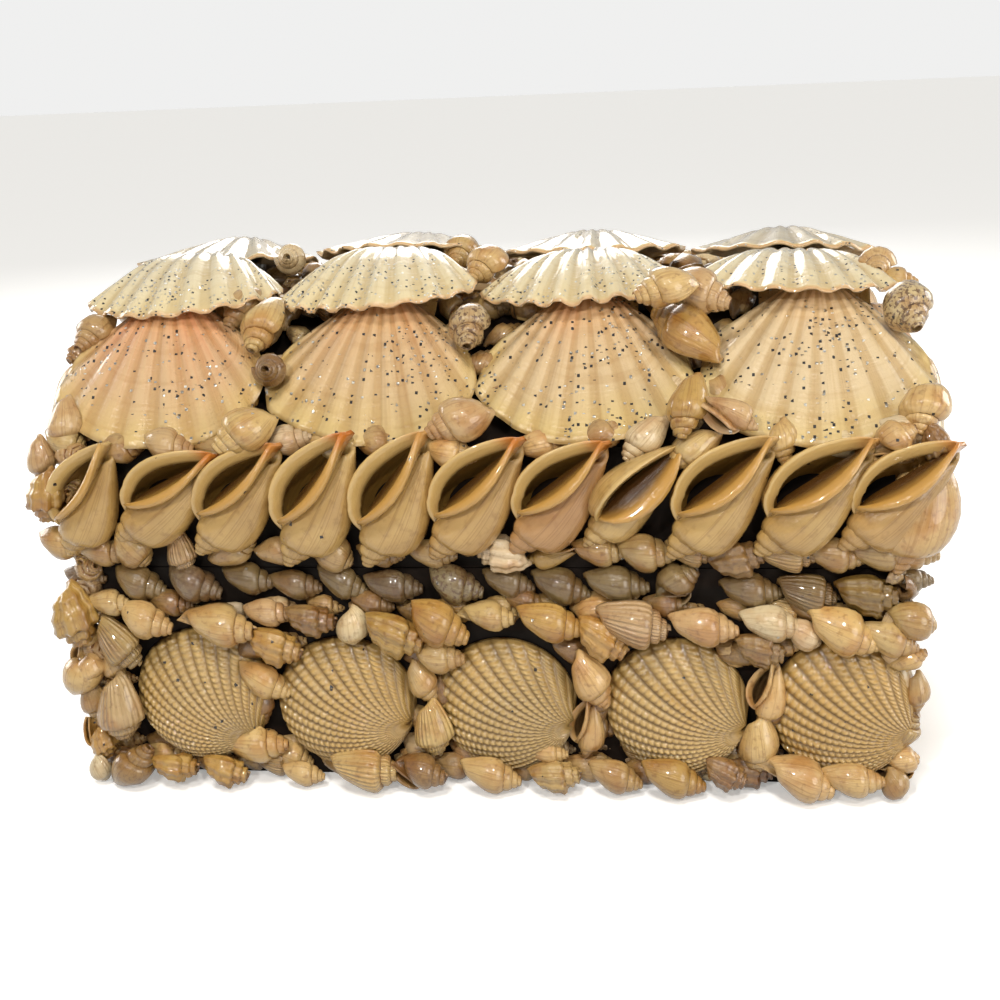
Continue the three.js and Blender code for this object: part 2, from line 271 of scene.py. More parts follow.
def makeGlitterGroup():
    # Loose flecks in the lacquer: cells with a square fleck in some of them, part silver and part black,
    # gathered into drifts by a broad noise, and each fleck tipped its own way.
    group, given, made = newGroup(
        "glitter flecks",
        [("Base Color", "NodeSocketColor", (0.8, 0.7, 0.5, 1)), ("Amount", "NodeSocketFloat", 0.3),
         ("Black Share", "NodeSocketFloat", 0.5), ("Cells Per Metre", "NodeSocketFloat", 520.0),
         ("Fleck Size", "NodeSocketFloat", 0.2)],
        [("Color", "NodeSocketColor"), ("Metallic", "NodeSocketFloat"), ("Mask", "NodeSocketFloat"),
         ("Height", "NodeSocketFloat")],
    )
    place = objectPlace(group)
    cells = addNode(group, "ShaderNodeTexVoronoi", {"distance": "CHEBYCHEV"}, Vector=place,
                    Scale=given.outputs["Cells Per Metre"])
    chance = addNode(group, "ShaderNodeSeparateColor", Color=cells.outputs["Color"]).outputs
    drift = fade(group, noise(group, place, 48.0, 1.0), 0.4, 0.66, 0.3, 2.0)
    limit = maths(group, "MULTIPLY", given.outputs["Amount"], drift)
    there = maths(group, "LESS_THAN", chance[0], limit)
    near = maths(group, "LESS_THAN", cells.outputs["Distance"], given.outputs["Fleck Size"])
    mask = maths(group, "MULTIPLY", there, near)
    isBlack = maths(group, "LESS_THAN", chance[1], given.outputs["Black Share"])
    silver = maths(group, "MULTIPLY", mask, maths(group, "SUBTRACT", 1.0, isBlack))
    bright = blend(group, chance[2], (0.5, 0.48, 0.42), (1.0, 0.97, 0.88))
    fleck = blend(group, isBlack, bright, (0.012, 0.011, 0.012))
    feed(group, made.inputs["Color"], blend(group, mask, given.outputs["Base Color"], fleck))
    feed(group, made.inputs["Metallic"], silver)
    feed(group, made.inputs["Mask"], mask)
    tip = maths(group, "MULTIPLY", mask, noise(group, place, 1400.0, 0.0))
    feed(group, made.inputs["Height"], tip)
    return group


def makeLacquerGroup():
    # Thick lacquer: slow ripples where it ran, and a finer orange-peel skin.
    group, given, made = newGroup(
        "lacquer skin",
        [("Ripple", "NodeSocketFloat", 1.0), ("Skin", "NodeSocketFloat", 0.3)],
        [("Height", "NodeSocketFloat")],
    )
    place = objectPlace(group)
    ripple = maths(group, "MULTIPLY", noise(group, place, 160.0, 2.0), given.outputs["Ripple"])
    skin = maths(group, "MULTIPLY", noise(group, place, 900.0, 1.0), given.outputs["Skin"])
    feed(group, made.inputs["Height"], maths(group, "ADD", ripple, skin))
    return group


def makeMottleGroup():
    # Natural shell colour: broad warm and cool patches, with finer darker stains over them.
    group, given, made = newGroup(
        "shell mottle",
        [("Base Color", "NodeSocketColor", (0.8, 0.6, 0.3, 1)),
         ("Warm Color", "NodeSocketColor", (0.6, 0.3, 0.1, 1)),
         ("Patches", "NodeSocketFloat", 0.4), ("Stains", "NodeSocketFloat", 0.3),
         ("Scale", "NodeSocketFloat", 90.0)],
        [("Color", "NodeSocketColor")],
    )
    place = objectPlace(group)
    patch = fade(group, noise(group, place, given.outputs["Scale"], 3.0), 0.4, 0.7)
    stainScale = maths(group, "MULTIPLY", given.outputs["Scale"], 5.0)
    stain = fade(group, noise(group, place, stainScale, 4.0), 0.52, 0.75)
    warmed = blend(group, maths(group, "MULTIPLY", patch, given.outputs["Patches"]),
                   given.outputs["Base Color"],
                   given.outputs["Warm Color"])
    stained = blend(group, maths(group, "MULTIPLY", stain, given.outputs["Stains"]), warmed,
                    (0.35, 0.2, 0.09),
                    "MULTIPLY")
    feed(group, made.inputs["Color"], stained)
    return group


glitterGroup = makeGlitterGroup()
lacquerGroup = makeLacquerGroup()
mottleGroup = makeMottleGroup()


def coatWith(tree, shader, colour, height, glitter, ripple, depth):
    # the last steps of every shell's finish: flecks, lacquer and one bump
    flecks = useGroup(tree, glitterGroup, Base_Color=colour, **glitter)
    feed(tree, shader.inputs["Base Color"], flecks["Color"])
    feed(tree, shader.inputs["Metallic"], flecks["Metallic"])
    skin = useGroup(tree, lacquerGroup, Ripple=ripple)["Height"]
    total = maths(tree, "ADD", maths(tree, "ADD", height, skin),
                  maths(tree, "MULTIPLY", flecks["Height"], 1.6))
    bump = addNode(tree, "ShaderNodeBump", Strength=1.0, Distance=depth, Height=total)
    feed(tree, shader.inputs["Normal"], bump.outputs["Normal"])


# the groove colour tints the streaks and growth bands, and also gives the painted shade in the rib grooves
scallopFinishes = {
    "lacquered scallop": {
        "beak": (0.68, 0.43, 0.21), "middle": (0.63, 0.455, 0.24), "rim": (0.64, 0.47, 0.17),
        "edge": (0.52, 0.34, 0.13),
        "blush": (0.74, 0.27, 0.12), "groove": (0.66, 0.52, 0.30), "under": (0.52, 0.36, 0.18),
        "pale": (0.74, 0.60, 0.38), "amount": 0.46,
        "glitter": {"Black_Share": 0.52, "Cells_Per_Metre": 560.0, "Fleck_Size": 0.23},
    },
    "glittered pale scallop": {
        "beak": (0.62, 0.50, 0.30), "middle": (0.74, 0.62, 0.38), "rim": (0.76, 0.62, 0.34),
        "edge": (0.62, 0.34, 0.14),
        "blush": (0.70, 0.34, 0.14), "groove": (0.72, 0.60, 0.38), "under": (0.74, 0.58, 0.36),
        "pale": (0.78, 0.70, 0.50), "amount": 0.9,
        "glitter": {"Black_Share": 0.3, "Cells_Per_Metre": 720.0, "Fleck_Size": 0.25},
    },
}


def makeScallopFinish(name, look):
    material, tree, shader = newFinish(name, 0.28, coatRoughness=0.035)
    reach, rib, across = attribute(tree, "reach"), attribute(tree, "rib"), attribute(tree, "across")
    ramp = fade(tree, reach, 0.1, 0.5)
    colour = blend(tree, ramp, look["beak"], look["middle"])
    colour = blend(tree, attribute(tree, "pale"), colour, look["pale"])
    margin = maths(tree, "ADD", reach, maths(tree, "MULTIPLY", noise(tree, objectPlace(tree), 60.0), 0.3))
    colour = blend(tree, fade(tree, margin, 0.85, 1.15, 0, 0.75), colour, look["rim"])
    # streaks that run down the ribs, and growth bands that run across them
    streak = noise(tree, combined(tree, maths(tree, "MULTIPLY", across, 26.0), reach), 1.0, 3.0)
    band = noise(tree, combined(tree, maths(tree, "MULTIPLY", reach, 17.0), across), 1.0, 2.0)
    colour = blend(tree, fade(tree, streak, 0.5, 0.72, 0, 0.3), colour, look["groove"], "MULTIPLY")
    colour = blend(tree, fade(tree, band, 0.52, 0.66, 0, 0.25), colour, look["groove"], "MULTIPLY")
    blush = maths(tree, "MULTIPLY", attribute(tree, "blush"), fade(tree, streak, 0.3, 0.6, 0.65, 1.0), True)
    colour = blend(tree, blush, colour, look["blush"])
    # painted shade in the grooves between the ribs
    groove = maths(tree, "MULTIPLY", fade(tree, rib, 0.5, 0.0), 0.5)
    colour = blend(tree, groove, colour, look["groove"], "MULTIPLY")
    colour = blend(tree, fade(tree, reach, 0.965, 1.0, 0, 0.8), colour, look["edge"])
    colour = blend(tree, attribute(tree, "under"), colour, look["under"])
    amount = maths(tree, "MULTIPLY", attribute(tree, "glitter"), look["amount"])
    growth = maths(tree, "MULTIPLY",
                   noise(tree, combined(tree, maths(tree, "MULTIPLY", reach, 60.0), across), 1.0), 0.5)
    threads = maths(tree, "MULTIPLY",
                    noise(tree, combined(tree, maths(tree, "MULTIPLY", across, 70.0), 0.0), 1.0), 0.35)
    coatWith(tree, shader, colour, maths(tree, "ADD", growth, threads),
             {"Amount": amount, **look["glitter"]}, 1.2, 0.0005)
    return material


conchLook = {
    "body": (0.47, 0.285, 0.082), "warm": (0.32, 0.165, 0.038), "cream": (0.63, 0.43, 0.16),
    "band": (0.62, 0.40, 0.14),
    # the near-black colour is painted shade, for the hollow of the mouth and the creases at the sutures
    "mouth": (0.52, 0.28, 0.06), "painted_shade": (0.07, 0.028, 0.006), "stain": (0.55, 0.16, 0.012),
    "pink": (0.44, 0.21, 0.09),
}


def makeConchFinish(look):
    material, tree, shader = newFinish("lacquered conch", 0.25)
    mouth, turn = attribute(tree, "mouth"), attribute(tree, "turn")
    tone = attribute(tree, "tone")
    body = blend(tree, tone, look["body"], look["cream"])
    body = useGroup(tree, mottleGroup, Base_Color=body, Warm_Color=look["warm"], Patches=0.45, Stains=0.35,
                    Scale=70.0)["Color"]
    body = blend(tree, attribute(tree, "pink"), body, look["pink"])
    lines = noise(tree, combined(tree, maths(tree, "MULTIPLY", turn, 120.0), attribute(tree, "across")),
                  1.0, 3.0)
    body = blend(tree, fade(tree, lines, 0.5, 0.75, 0, 0.45), body, look["warm"], "MULTIPLY")
    # painted shade: darkened towards near-black along the sutures, in the crease between whorls
    body = blend(tree, fade(tree, attribute(tree, "suture"), 0.4, 1.0, 0, 0.7), body, look["painted_shade"])
    body = blend(tree, attribute(tree, "band"), body, look["band"])
    # painted shade: the amber inside of the mouth fades to near-black the deeper into the hollow it goes
    inside = blend(tree, fade(tree, mouth, 0.35, 0.95), look["mouth"], look["painted_shade"])
    colour = blend(tree, fade(tree, mouth, 0.04, 0.3), body, inside)
    colour = blend(tree, attribute(tree, "lip"), colour, look["cream"])
    colour = blend(tree, attribute(tree, "stain"), colour, look["stain"])
    glitter = {"Amount": 0.016, "Black_Share": 0.8, "Cells_Per_Metre": 420.0, "Fleck_Size": 0.2}
    coatWith(tree, shader, colour, maths(tree, "MULTIPLY", lines, 0.5), glitter, 0.8, 0.0004)
    return material


cockleLook = {
    # the dark groove colour is painted shade in the grooves between ribs and beads
    "bead": (0.57, 0.385, 0.14), "groove": (0.19, 0.10, 0.022), "grey": (0.40, 0.29, 0.12),
    "golden": (0.54, 0.32, 0.08),
}


def makeCockleFinish(look):
    material, tree, shader = newFinish("lacquered cockle", 0.3)
    place = objectPlace(tree)
    colour = useGroup(tree, mottleGroup, Base_Color=look["bead"], Warm_Color=look["golden"], Patches=0.5,
                      Stains=0.15,
                      Scale=45.0)["Color"]
    clouded = fade(tree, noise(tree, place, 30.0), 0.45, 0.65, 0, 0.5)
    colour = blend(tree, clouded, colour, look["grey"])
    colour = blend(tree, maths(tree, "MULTIPLY", attribute(tree, "golden"), 0.6), colour, look["golden"])
    # painted shade in the grooves between the ribs and between the beads
    colour = blend(tree, maths(tree, "MULTIPLY", attribute(tree, "groove"), 0.8), colour, look["groove"])
    glitter = {"Amount": 0.014, "Black_Share": 0.9, "Cells_Per_Metre": 420.0, "Fleck_Size": 0.2}
    coatWith(tree, shader, colour, 0.0, glitter, 1.0, 0.0004)
    return material


# the near-black colour is painted shade for the mouths and sutures
smallLook = {"spots": (0.10, 0.045, 0.02), "painted_shade": (0.06, 0.025, 0.008), "line": (0.42, 0.25, 0.1)}


def makeSmallFinish(look):
    material, tree, shader = newFinish("lacquered small shell", 0.3)
    place = objectPlace(tree)
    tint, mouth = attribute(tree, "tint", "Color"), attribute(tree, "mouth")
    lines = noise(tree, combined(tree, maths(tree, "MULTIPLY", attribute(tree, "turn"), 60.0),
                                 attribute(tree, "across")), 1.0, 3.0)
    warm = blend(tree, 1.0, tint, (0.72, 0.5, 0.3), "MULTIPLY")
    colour = useGroup(tree, mottleGroup, Base_Color=tint, Warm_Color=warm, Patches=0.75, Stains=0.5,
                      Scale=110.0)["Color"]
    colour = blend(tree, fade(tree, lines, 0.5, 0.7, 0, 0.4), colour, look["line"], "MULTIPLY")
    # painted shade: darkened along the sutures, in the crease between whorls
    colour = blend(tree, fade(tree, attribute(tree, "suture"), 0.2, 0.9, 0, 0.95), colour, look["line"],
                   "MULTIPLY")
    dots = fade(tree, noise(tree, place, 850.0, 2.0), 0.5, 0.6)
    colour = blend(tree, maths(tree, "MULTIPLY", dots, attribute(tree, "spots")), colour, look["spots"])
    # painted shade inside the mouth: near-black deep in the aperture
    colour = blend(tree, fade(tree, mouth, 0.2, 0.8), colour, look["painted_shade"])
    glitter = {"Amount": attribute(tree, "glitter"), "Black_Share": 0.75, "Cells_Per_Metre": 480.0,
               "Fleck_Size": 0.2}
    wave = maths(tree, "SINE", maths(tree, "MULTIPLY", attribute(tree, "turn"), 176.0))
    striae = maths(tree, "MULTIPLY", maths(tree, "MULTIPLY", wave, attribute(tree, "striae")), 0.5)
    height = maths(tree, "ADD", maths(tree, "MULTIPLY", lines, 0.7), striae)
    coatWith(tree, shader, colour, height, glitter, 0.8, 0.0004)
    return material


def makeCarcassFinish():
    material, tree, shader = newFinish("dark painted board", 0.6, coat=0.0)
    shader.inputs["Specular IOR Level"].default_value = 0.2
    place = objectPlace(tree)
    stretched = addNode(tree, "ShaderNodeMapping", Vector=place, Scale=(14.0, 160.0, 160.0)).outputs[0]
    grain = noise(tree, stretched, 1.0, 4.0)
    colour = blend(tree, fade(tree, grain, 0.4, 0.65), (0.006, 0.0035, 0.002), (0.014, 0.008, 0.005))
    scuffs = fade(tree, noise(tree, place, 24.0, 5.0), 0.62, 0.72, 0, 0.4)
    colour = blend(tree, scuffs, colour, (0.03, 0.019, 0.012))
    feed(tree, shader.inputs["Base Color"], colour)
    feed(tree, shader.inputs["Roughness"], fade(tree, grain, 0.3, 0.7, 0.6, 0.8))
    bump = addNode(tree, "ShaderNodeBump", Strength=0.6, Distance=0.0003, Height=grain)
    feed(tree, shader.inputs["Normal"], bump.outputs["Normal"])
    return material


finishes = {name: makeScallopFinish(name, look) for name, look in scallopFinishes.items()}
finishes["conch"] = makeConchFinish(conchLook)
finishes["cockle"] = makeCockleFinish(cockleLook)
finishes["small"] = makeSmallFinish(smallLook)
carcassFinish = makeCarcassFinish()
for node in ("box_body", "box_lid"):
    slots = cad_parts[node].data.materials
    slots.clear()
    slots.append(carcassFinish)
print("finishes made")


def smoothThrough(points, count):
    # a Catmull-Rom curve through a few points, its samples shared evenly between them
    p = np.array(points, float)
    p = np.vstack([2 * p[0] - p[1], p, 2 * p[-1] - p[-2]])
    t = np.linspace(0, len(p) - 3, count)
    k = np.minimum(t.astype(int), len(p) - 4)
    f = (t - k)[:, None]
    a, b, c, d = p[k], p[k + 1], p[k + 2], p[k + 3]
    return 0.5 * (2 * b + (c - a) * f + (2 * a - 5 * b + 4 * c - d) * f**2 + (3 * b - a - 3 * c + d) * f**3)


def gridTriangles(rows, columns, wrapped=False):
    r = np.arange(rows - 1)[:, None]
    c = np.arange(columns if wrapped else columns - 1)[None, :]
    n = (c + 1) % columns
    here, beside, across, ahead = (
        r * columns + c, r * columns + n, (r + 1) * columns + n, (r + 1) * columns + c
    )
    one = np.stack(np.broadcast_arrays(here, beside, across), -1).reshape(-1, 3)
    two = np.stack(np.broadcast_arrays(here, across, ahead), -1).reshape(-1, 3)
    return np.concatenate([one, two])


def closed(points, triangles, shade):
    # Points in one place become one point, triangles that collapse go, and the rest are turned to face
    # outwards.
    grid = np.round(points * 1e4).astype(np.int64)
    _, first, index = np.unique(grid, axis=0, return_index=True, return_inverse=True)
    triangles = index.reshape(-1)[triangles]
    a, b, c = triangles.T
    triangles = triangles[(a != b) & (b != c) & (c != a)]
    points = points[first]
    p, q, r = points[triangles[:, 0]], points[triangles[:, 1]], points[triangles[:, 2]]
    if np.einsum("ij,ij->", p, np.cross(q, r)) < 0:
        triangles = triangles[:, ::-1]
    return {"points": points, "triangles": triangles,
            "shade": {key: value[first] for key, value in shade.items()}}


def turnMatrix(tilt=0.0, roll=0.0, spin=0.0):
    # spin about Z comes first, then roll about Y, then tilt about X
    x, y, z = (math.radians(angle) for angle in (tilt, roll, spin))
    aboutX = Matrix.Rotation(x, 3, "X")
    aboutY = Matrix.Rotation(y, 3, "Y")
    aboutZ = Matrix.Rotation(z, 3, "Z")
    return np.array(aboutX @ aboutY @ aboutZ)


def moved(patch, matrix=None, offset=(0, 0, 0)):
    points = patch["points"] if matrix is None else patch["points"] @ matrix.T
    return {**patch, "points": points + np.array(offset, float)}


def toSide(patch, side):
    return moved(patch, turnMatrix(spin=sideTurns[side]), (*boxMiddle[:2], 0))


def makePiece(name, patches, finish, slot, nodes=()):
    counts = np.cumsum([0] + [len(patch["points"]) for patch in patches])
    points = np.concatenate([patch["points"] for patch in patches]) * mm
    triangles = np.concatenate([patch["triangles"] + start for patch, start in zip(patches, counts)])
    mesh = bpy.data.meshes.new(name)
    mesh.vertices.add(len(points))
    mesh.vertices.foreach_set("co", points.ravel())
    mesh.loops.add(triangles.size)
    mesh.loops.foreach_set("vertex_index", triangles.ravel())
    mesh.polygons.add(len(triangles))
    mesh.polygons.foreach_set("loop_start", np.arange(0, triangles.size, 3))
    mesh.update(calc_edges=True)
    mesh.validate()
    mesh.shade_smooth()
    for key in patches[0]["shade"]:
        values = np.concatenate([patch["shade"][key] for patch in patches]).astype(np.float32)
        coloured = values.ndim == 2
        layer = mesh.attributes.new(key, "FLOAT_COLOR" if coloured else "FLOAT", "POINT")
        layer.data.foreach_set("color" if coloured else "value", values.ravel())
    mesh.materials.append(finish)
    piece = bpy.data.objects.new(name, mesh)
    bpy.context.scene.collection.objects.link(piece)
    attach(piece, "root")
    if nodes:
        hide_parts(*nodes)
    return len(triangles)


def settled(patch, node, side=None, atFoot=False):
    # The patch takes its node's place: the middles of their boxes meet. With a side their outer faces do
    # too, and at the foot their lowest points.
    low, high = (np.array(corner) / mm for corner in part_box(node))
    points = patch["points"]
    offset = (low + high) / 2 - (points.min(0) + points.max(0)) / 2
    if side:
        outward = turnMatrix(spin=sideTurns[side]) @ np.array([0, -1, 0])
        reachOfNode = ((low + high) / 2) @ outward + np.abs((high - low) / 2) @ np.abs(outward)
        offset = offset + outward * (reachOfNode - ((points + offset) @ outward).max())
    if atFoot:
        offset[2] = low[2] - points[:, 2].min()
    return moved(patch, None, offset)


def flat(patch, **values):
    # adds marks that are the same all over a patch
    count = len(patch["points"])
    marks = {
        key: np.tile(np.array(value, float), (count, 1)) if np.ndim(value)
        else np.full(count, float(value))
        for key, value in values.items()
    }
    return {**patch, "shade": {**patch["shade"], **marks}}


scallopShape = {
    "width": 66, "height": 64, "dome": 9.5, "crown": 0.52, "sides": 2.6, "wall": 1.0, "spread": 62,
    "ear": 0.28,
    "ribs": 10, "ribHeight": 1.25, "perRib": 8, "rows": 26, "wavy": 0.016, "blushReach": 0.42,
}


def scallop(look, seed):
    # Angle across the fan and share of the reach from beak to rim. The reach falls off with the angle, the
    # dome is a sine that is fullest near the beak, and the ribs are flat-topped waves of the angle that
    # grow with the reach.
    s = {**scallopShape, **look}
    chance = np.random.default_rng(seed)
    spread = math.radians(s["spread"])
    ears = np.linspace(spread + 0.1, math.pi / 2, 3)
    angle = np.r_[-ears[::-1], np.linspace(-spread, spread, s["ribs"] * s["perRib"] + 1), ears]
    share = np.abs(angle) / spread
    ribbed = np.clip((1.03 - share) / 0.12, 0, 1)
    wander = (
        0.08 * np.sin(3 * angle + chance.uniform(0, 6))
        + 0.05 * np.sin(7 * angle + chance.uniform(0, 6))
    )
    wave = (
        0.5 - 0.62 * np.cos(2 * math.pi * (angle / spread * 0.5 * s["ribs"] * 1.08 + s["ribs"] / 2 + wander))
    )
    rib = np.clip(wave, 0, 1)
    strength = 0.85 + 0.3 * np.sin(4 * angle + chance.uniform(0, 6))
    rib = rib * rib * (3 - 2 * rib) * ribbed
    edge = np.cos(angle) ** 0.25 * np.clip(1 - share**6, 0, 1) ** 0.8
    nicks = sum(
        size * np.sin(count * angle + chance.uniform(0, 6))
        for count, size in ((5, 0.012), (11, 0.009), (23, 0.004))
    )
    edge = edge * (1 + s["wavy"] * (rib - 0.5) * strength + nicks)
    edge = np.maximum(edge, np.where(share > 0.8, s["ear"] / np.maximum(np.abs(np.sin(angle)), 0.5), 0))
    out = np.r_[0, np.linspace(0.06, 1, s["rows"])]
    back = np.array([0.995, 0.94, 0.8, 0.6, 0.4, 0.2, 0])
    t = np.r_[out, back][:, None]
    under = np.r_[np.zeros(len(out)), np.ones(len(back))][:, None]
    x = s["height"] * edge * t * np.sin(angle) * s["width"] / (1.15 * s["height"])
    y = s["height"] * (0.5 - edge * t * np.cos(angle))
    domed = np.sin(math.pi * t ** s["crown"]) * (1 - 0.94 * np.minimum(share, 1) ** s["sides"])
    warp = (
        0.6 * np.sin(2 * angle + chance.uniform(0, 6)) * t**2
        + 0.4 * np.sin(5 * angle + chance.uniform(0, 6)) * t**3
    )
    swing = 0.05 * np.sin(9 * t + 5 * angle + chance.uniform(0, 6))
    growth = 0.06 * np.sin(26 * t + chance.uniform(0, 6)) + 0.04 * np.sin(61 * t + 2 * angle)
    z = (
        s["dome"] * domed + s["ribHeight"] * strength * (rib + swing - 0.4) * t**0.8
        + (warp + growth * t) * ribbed
    )
    thick = (
        s["wall"] * np.clip(3 * t, 0, 1) * np.clip((math.pi / 2 - np.abs(angle)) * 3, 0, 1)
        * (1 - 0.35 * t**6)
    )
    z = z - under * thick
    grid = np.broadcast_arrays(x, y, z)
    lobes = 0.75 + 0.25 * np.sin(5 * angle + chance.uniform(0, 6))
    blush = s["blush"] * np.exp(-((t / s["blushReach"]) ** 2)) * lobes * (1 - under)
    ones = np.ones_like(x)
    shade = {"reach": t * ones, "rib": rib * ones, "across": angle / spread * ones + seed * 3.1,
             "blush": blush * ones,
             "under": under * ones, "glitter": s["glitter"] * (1 - under) * ones, "pale": s["pale"] * ones}
    points = np.stack(grid, -1).reshape(-1, 3)
    return closed(points, gridTriangles(len(t), len(angle)),
                  {key: value.ravel() for key, value in shade.items()})


scallopRows = {
    "front_slope_scallop": {
        "side": "front", "finish": "lacquered scallop", "slot": "scallop",
        "tilts": [37, 35, 35, 36], "rolls": [0, 0, 0, 0], "spins": [3, -2, 1, -3], "sizes": [1, 1, 1, 1.05],
        "blushReach": [0.64, 0.52, 0.4, 0.4],
        "ribs": [10, 11, 11, 10], "blush": [1.0, 0.62, 0.8, 0.22], "pale": [0.1, 0.05, 0.25, 0.55],
        "glitter": [0.8, 0.9, 1.2, 1.0], "shape": {},
    },
    "top_front_scallop": {
        "side": "front", "finish": "glittered pale scallop", "slot": "pale_scallop",
        "tilts": [-1, 4, 1, -4], "rolls": [-3, -3, -3, 2], "spins": [-4, -3, -2, 0],
        "sizes": [1, 0.99, 0.99, 1],
        "dome": [14.5, 12, 10.5, 9.5],
        "ribs": [11, 12, 12, 11], "blush": [0.0, 0.0, 0.05, 0.0], "pale": [0.6, 0.55, 0.65, 0.6],
        "glitter": [1.0, 0.8, 1.1, 1.0],
        "shape": {"ribHeight": 1.9, "wavy": 0.02, "crown": 0.9, "sides": 2.8, "height": 60},
    },
    "top_rear_scallop": {
        "side": "front", "finish": "glittered pale scallop", "slot": "pale_scallop",
        "tilts": [-9, -14, -12, -11], "rolls": [0, 0, 0, 2], "spins": [2, -1, 2, 0],
        "sizes": [1, 1, 0.98, 1],
        "ribs": [10, 11, 11, 10], "blush": [0.1, 0.1, 0.1, 0.1], "pale": [0.2, 0.15, 0.3, 0.2],
        "glitter": [0.6, 0.5, 0.7, 0.5],
        "shape": {"wavy": 0.02, "ribHeight": 1.3, "wall": 1.5, "height": 60, "rows": 18, "perRib": 6},
    },
    "back_slope_scallop": {
        "side": "back", "finish": "lacquered scallop", "slot": "scallop",
        "tilts": [37, 35, 35, 36], "rolls": [0, 0, 0, 0], "spins": [-2, 3, -1, 2], "sizes": [1, 0.99, 1, 1],
        "ribs": [10, 10, 11, 10], "blush": [0.4, 0.6, 0.3, 0.5], "pale": [0.3, 0.2, 0.4, 0.3],
        "glitter": [0.6, 0.6, 0.6, 0.6], "shape": {"rows": 17, "perRib": 6},
    },
}
endScallops = {
    "finish": "lacquered scallop", "slot": "scallop", "tilts": [72] * 4, "rolls": [0] * 4,
    "spins": [2, -3, 2, -2],
    "sizes": [1] * 4, "ribs": [9, 9, 10, 9], "blush": [0.15, 0.35, 0.25, 0.2], "pale": [0.5, 0.3, 0.4, 0.5],
    "glitter": [1.3, 1.0, 1.0, 1.2],
    "shape": {"width": 40, "height": 34, "dome": 6.5, "wall": 0.9, "ribHeight": 0.8, "rows": 12,
              "perRib": 5},
}
for end in ("right", "left"):
    scallopRows[f"{end}_end_scallop"] = {**endScallops, "side": end}


eachValve = ("ribs", "blush", "pale", "glitter", "dome", "blushReach")


def makeScallops():
    total = 0
    for rowNumber, (rowName, row) in enumerate(scallopRows.items()):
        for k, size in enumerate(row["sizes"]):
            node = f"{rowName}_{k + 1}"
            look = {**row["shape"], **{key: row[key][k] for key in eachValve if key in row}}
            turn = turnMatrix(row["tilts"][k], row["rolls"][k], row["spins"][k])
            patch = moved(scallop(look, 10 * rowNumber + k), size * turn)
            patch = moved(patch, turnMatrix(spin=sideTurns[row["side"]]))
            onSlope = "slope" in rowName
            patch = settled(patch, node, row["side"] if onSlope else None, onSlope)
            total += makePiece(f"{node}_shell", [patch], finishes[row["finish"]], row["slot"], [node])
    return total


triangleCount = {"scallops": makeScallops()}
print("scallops made", triangleCount)


cockleShape = {
    "size": 45, "dome": 11.3, "spread": 84, "ribs": 26, "beads": 20, "ribHeight": 1.45, "beadHeight": 0.6,
    "bend": 0.085,
}


def cockle(look, seed):
    # Angle across the fan and share of the reach, as on the scallops. The rim is a circle through the beak.
    # Each rib is a flat-topped wave of the angle, cut into beads by a wave of the reach, and the ribs bow
    # to one side.
    s = {**cockleShape, **look}
    chance = np.random.default_rng(seed)
    spread = math.radians(s["spread"])
    # each rib has a groove, a rising side, a top and a falling side
    spot = (np.arange(s["ribs"])[:, None] + np.array([0, 0.2, 0.5, 0.8])[None, :]).ravel()
    spot = np.r_[spot, s["ribs"]]
    rib = np.interp(spot % 1, [0, 0.2, 0.5, 0.8, 1], [0, 0.72, 1, 0.72, 0])
    share = 2 * spot / s["ribs"] - 1
    angle = spread * (0.84 * share + 0.16 * share**3)
    step = (np.arange(s["beads"])[:, None] + np.array([0, 0.22, 0.5, 0.78])[None, :]).ravel() / s["beads"]
    out = np.r_[0, 0.05 + 0.95 * np.r_[step, 1] ** 0.92]
    bead = np.r_[0, np.tile([0, 0.75, 1, 0.75], s["beads"]), 0]
    t = np.r_[out, 1, 0.5, 0][:, None]
    bead = np.r_[bead, 0, 0, 0][:, None]
    under = np.r_[np.zeros(len(out)), np.ones(3)][:, None]
    reach = s["size"] * (np.cos(angle) * 0.995 + 0.012 * np.sin(3 * angle + seed))
    x = reach * t * np.sin(angle) + s["bend"] * s["size"] * 4 * t * (1 - t) * np.cos(angle)
    y = s["size"] / 2 - reach * t * np.cos(angle)
    domed = np.clip(np.sin(math.pi * t**0.62), 0, 1) ** 0.66 * (1 - np.abs(share) ** 3.2) ** 0.75
    fading = (
        np.clip(6 * t, 0, 1) ** 0.6 * (0.35 + 0.65 * np.clip(1.6 * t, 0, 1))
        * (1 - 0.8 * np.abs(share) ** 5)
    )
    beadShare = np.clip(1.25 - 0.35 * t, 0, 1)
    uneven = 1 + 0.12 * chance.standard_normal(len(angle) // 4 + 1).repeat(4)[: len(angle)][None, :]
    relief = fading * rib * (s["ribHeight"] + s["beadHeight"] * (bead * 1.5 - 0.75) * beadShare) * uneven
    z = np.where(under > 0, 0, s["dome"] * domed + relief * np.clip((1 - t) * 30, 0, 1))
    z = np.maximum(z, 0)
    ones = np.ones_like(x)
    # the groove mask carries painted shade: full between the ribs, lighter between the beads
    groove = (1 - rib) * np.clip(t * 8, 0, 1) + 0.3 * rib * (1 - bead) * beadShare
    shade = {"groove": np.clip(groove, 0, 1) * ones, "golden": s["golden"] * ones}
    points = np.stack(np.broadcast_arrays(x, y, z), -1).reshape(-1, 3)
    return closed(points, gridTriangles(len(t), len(angle)),
                  {key: value.ravel() for key, value in shade.items()})


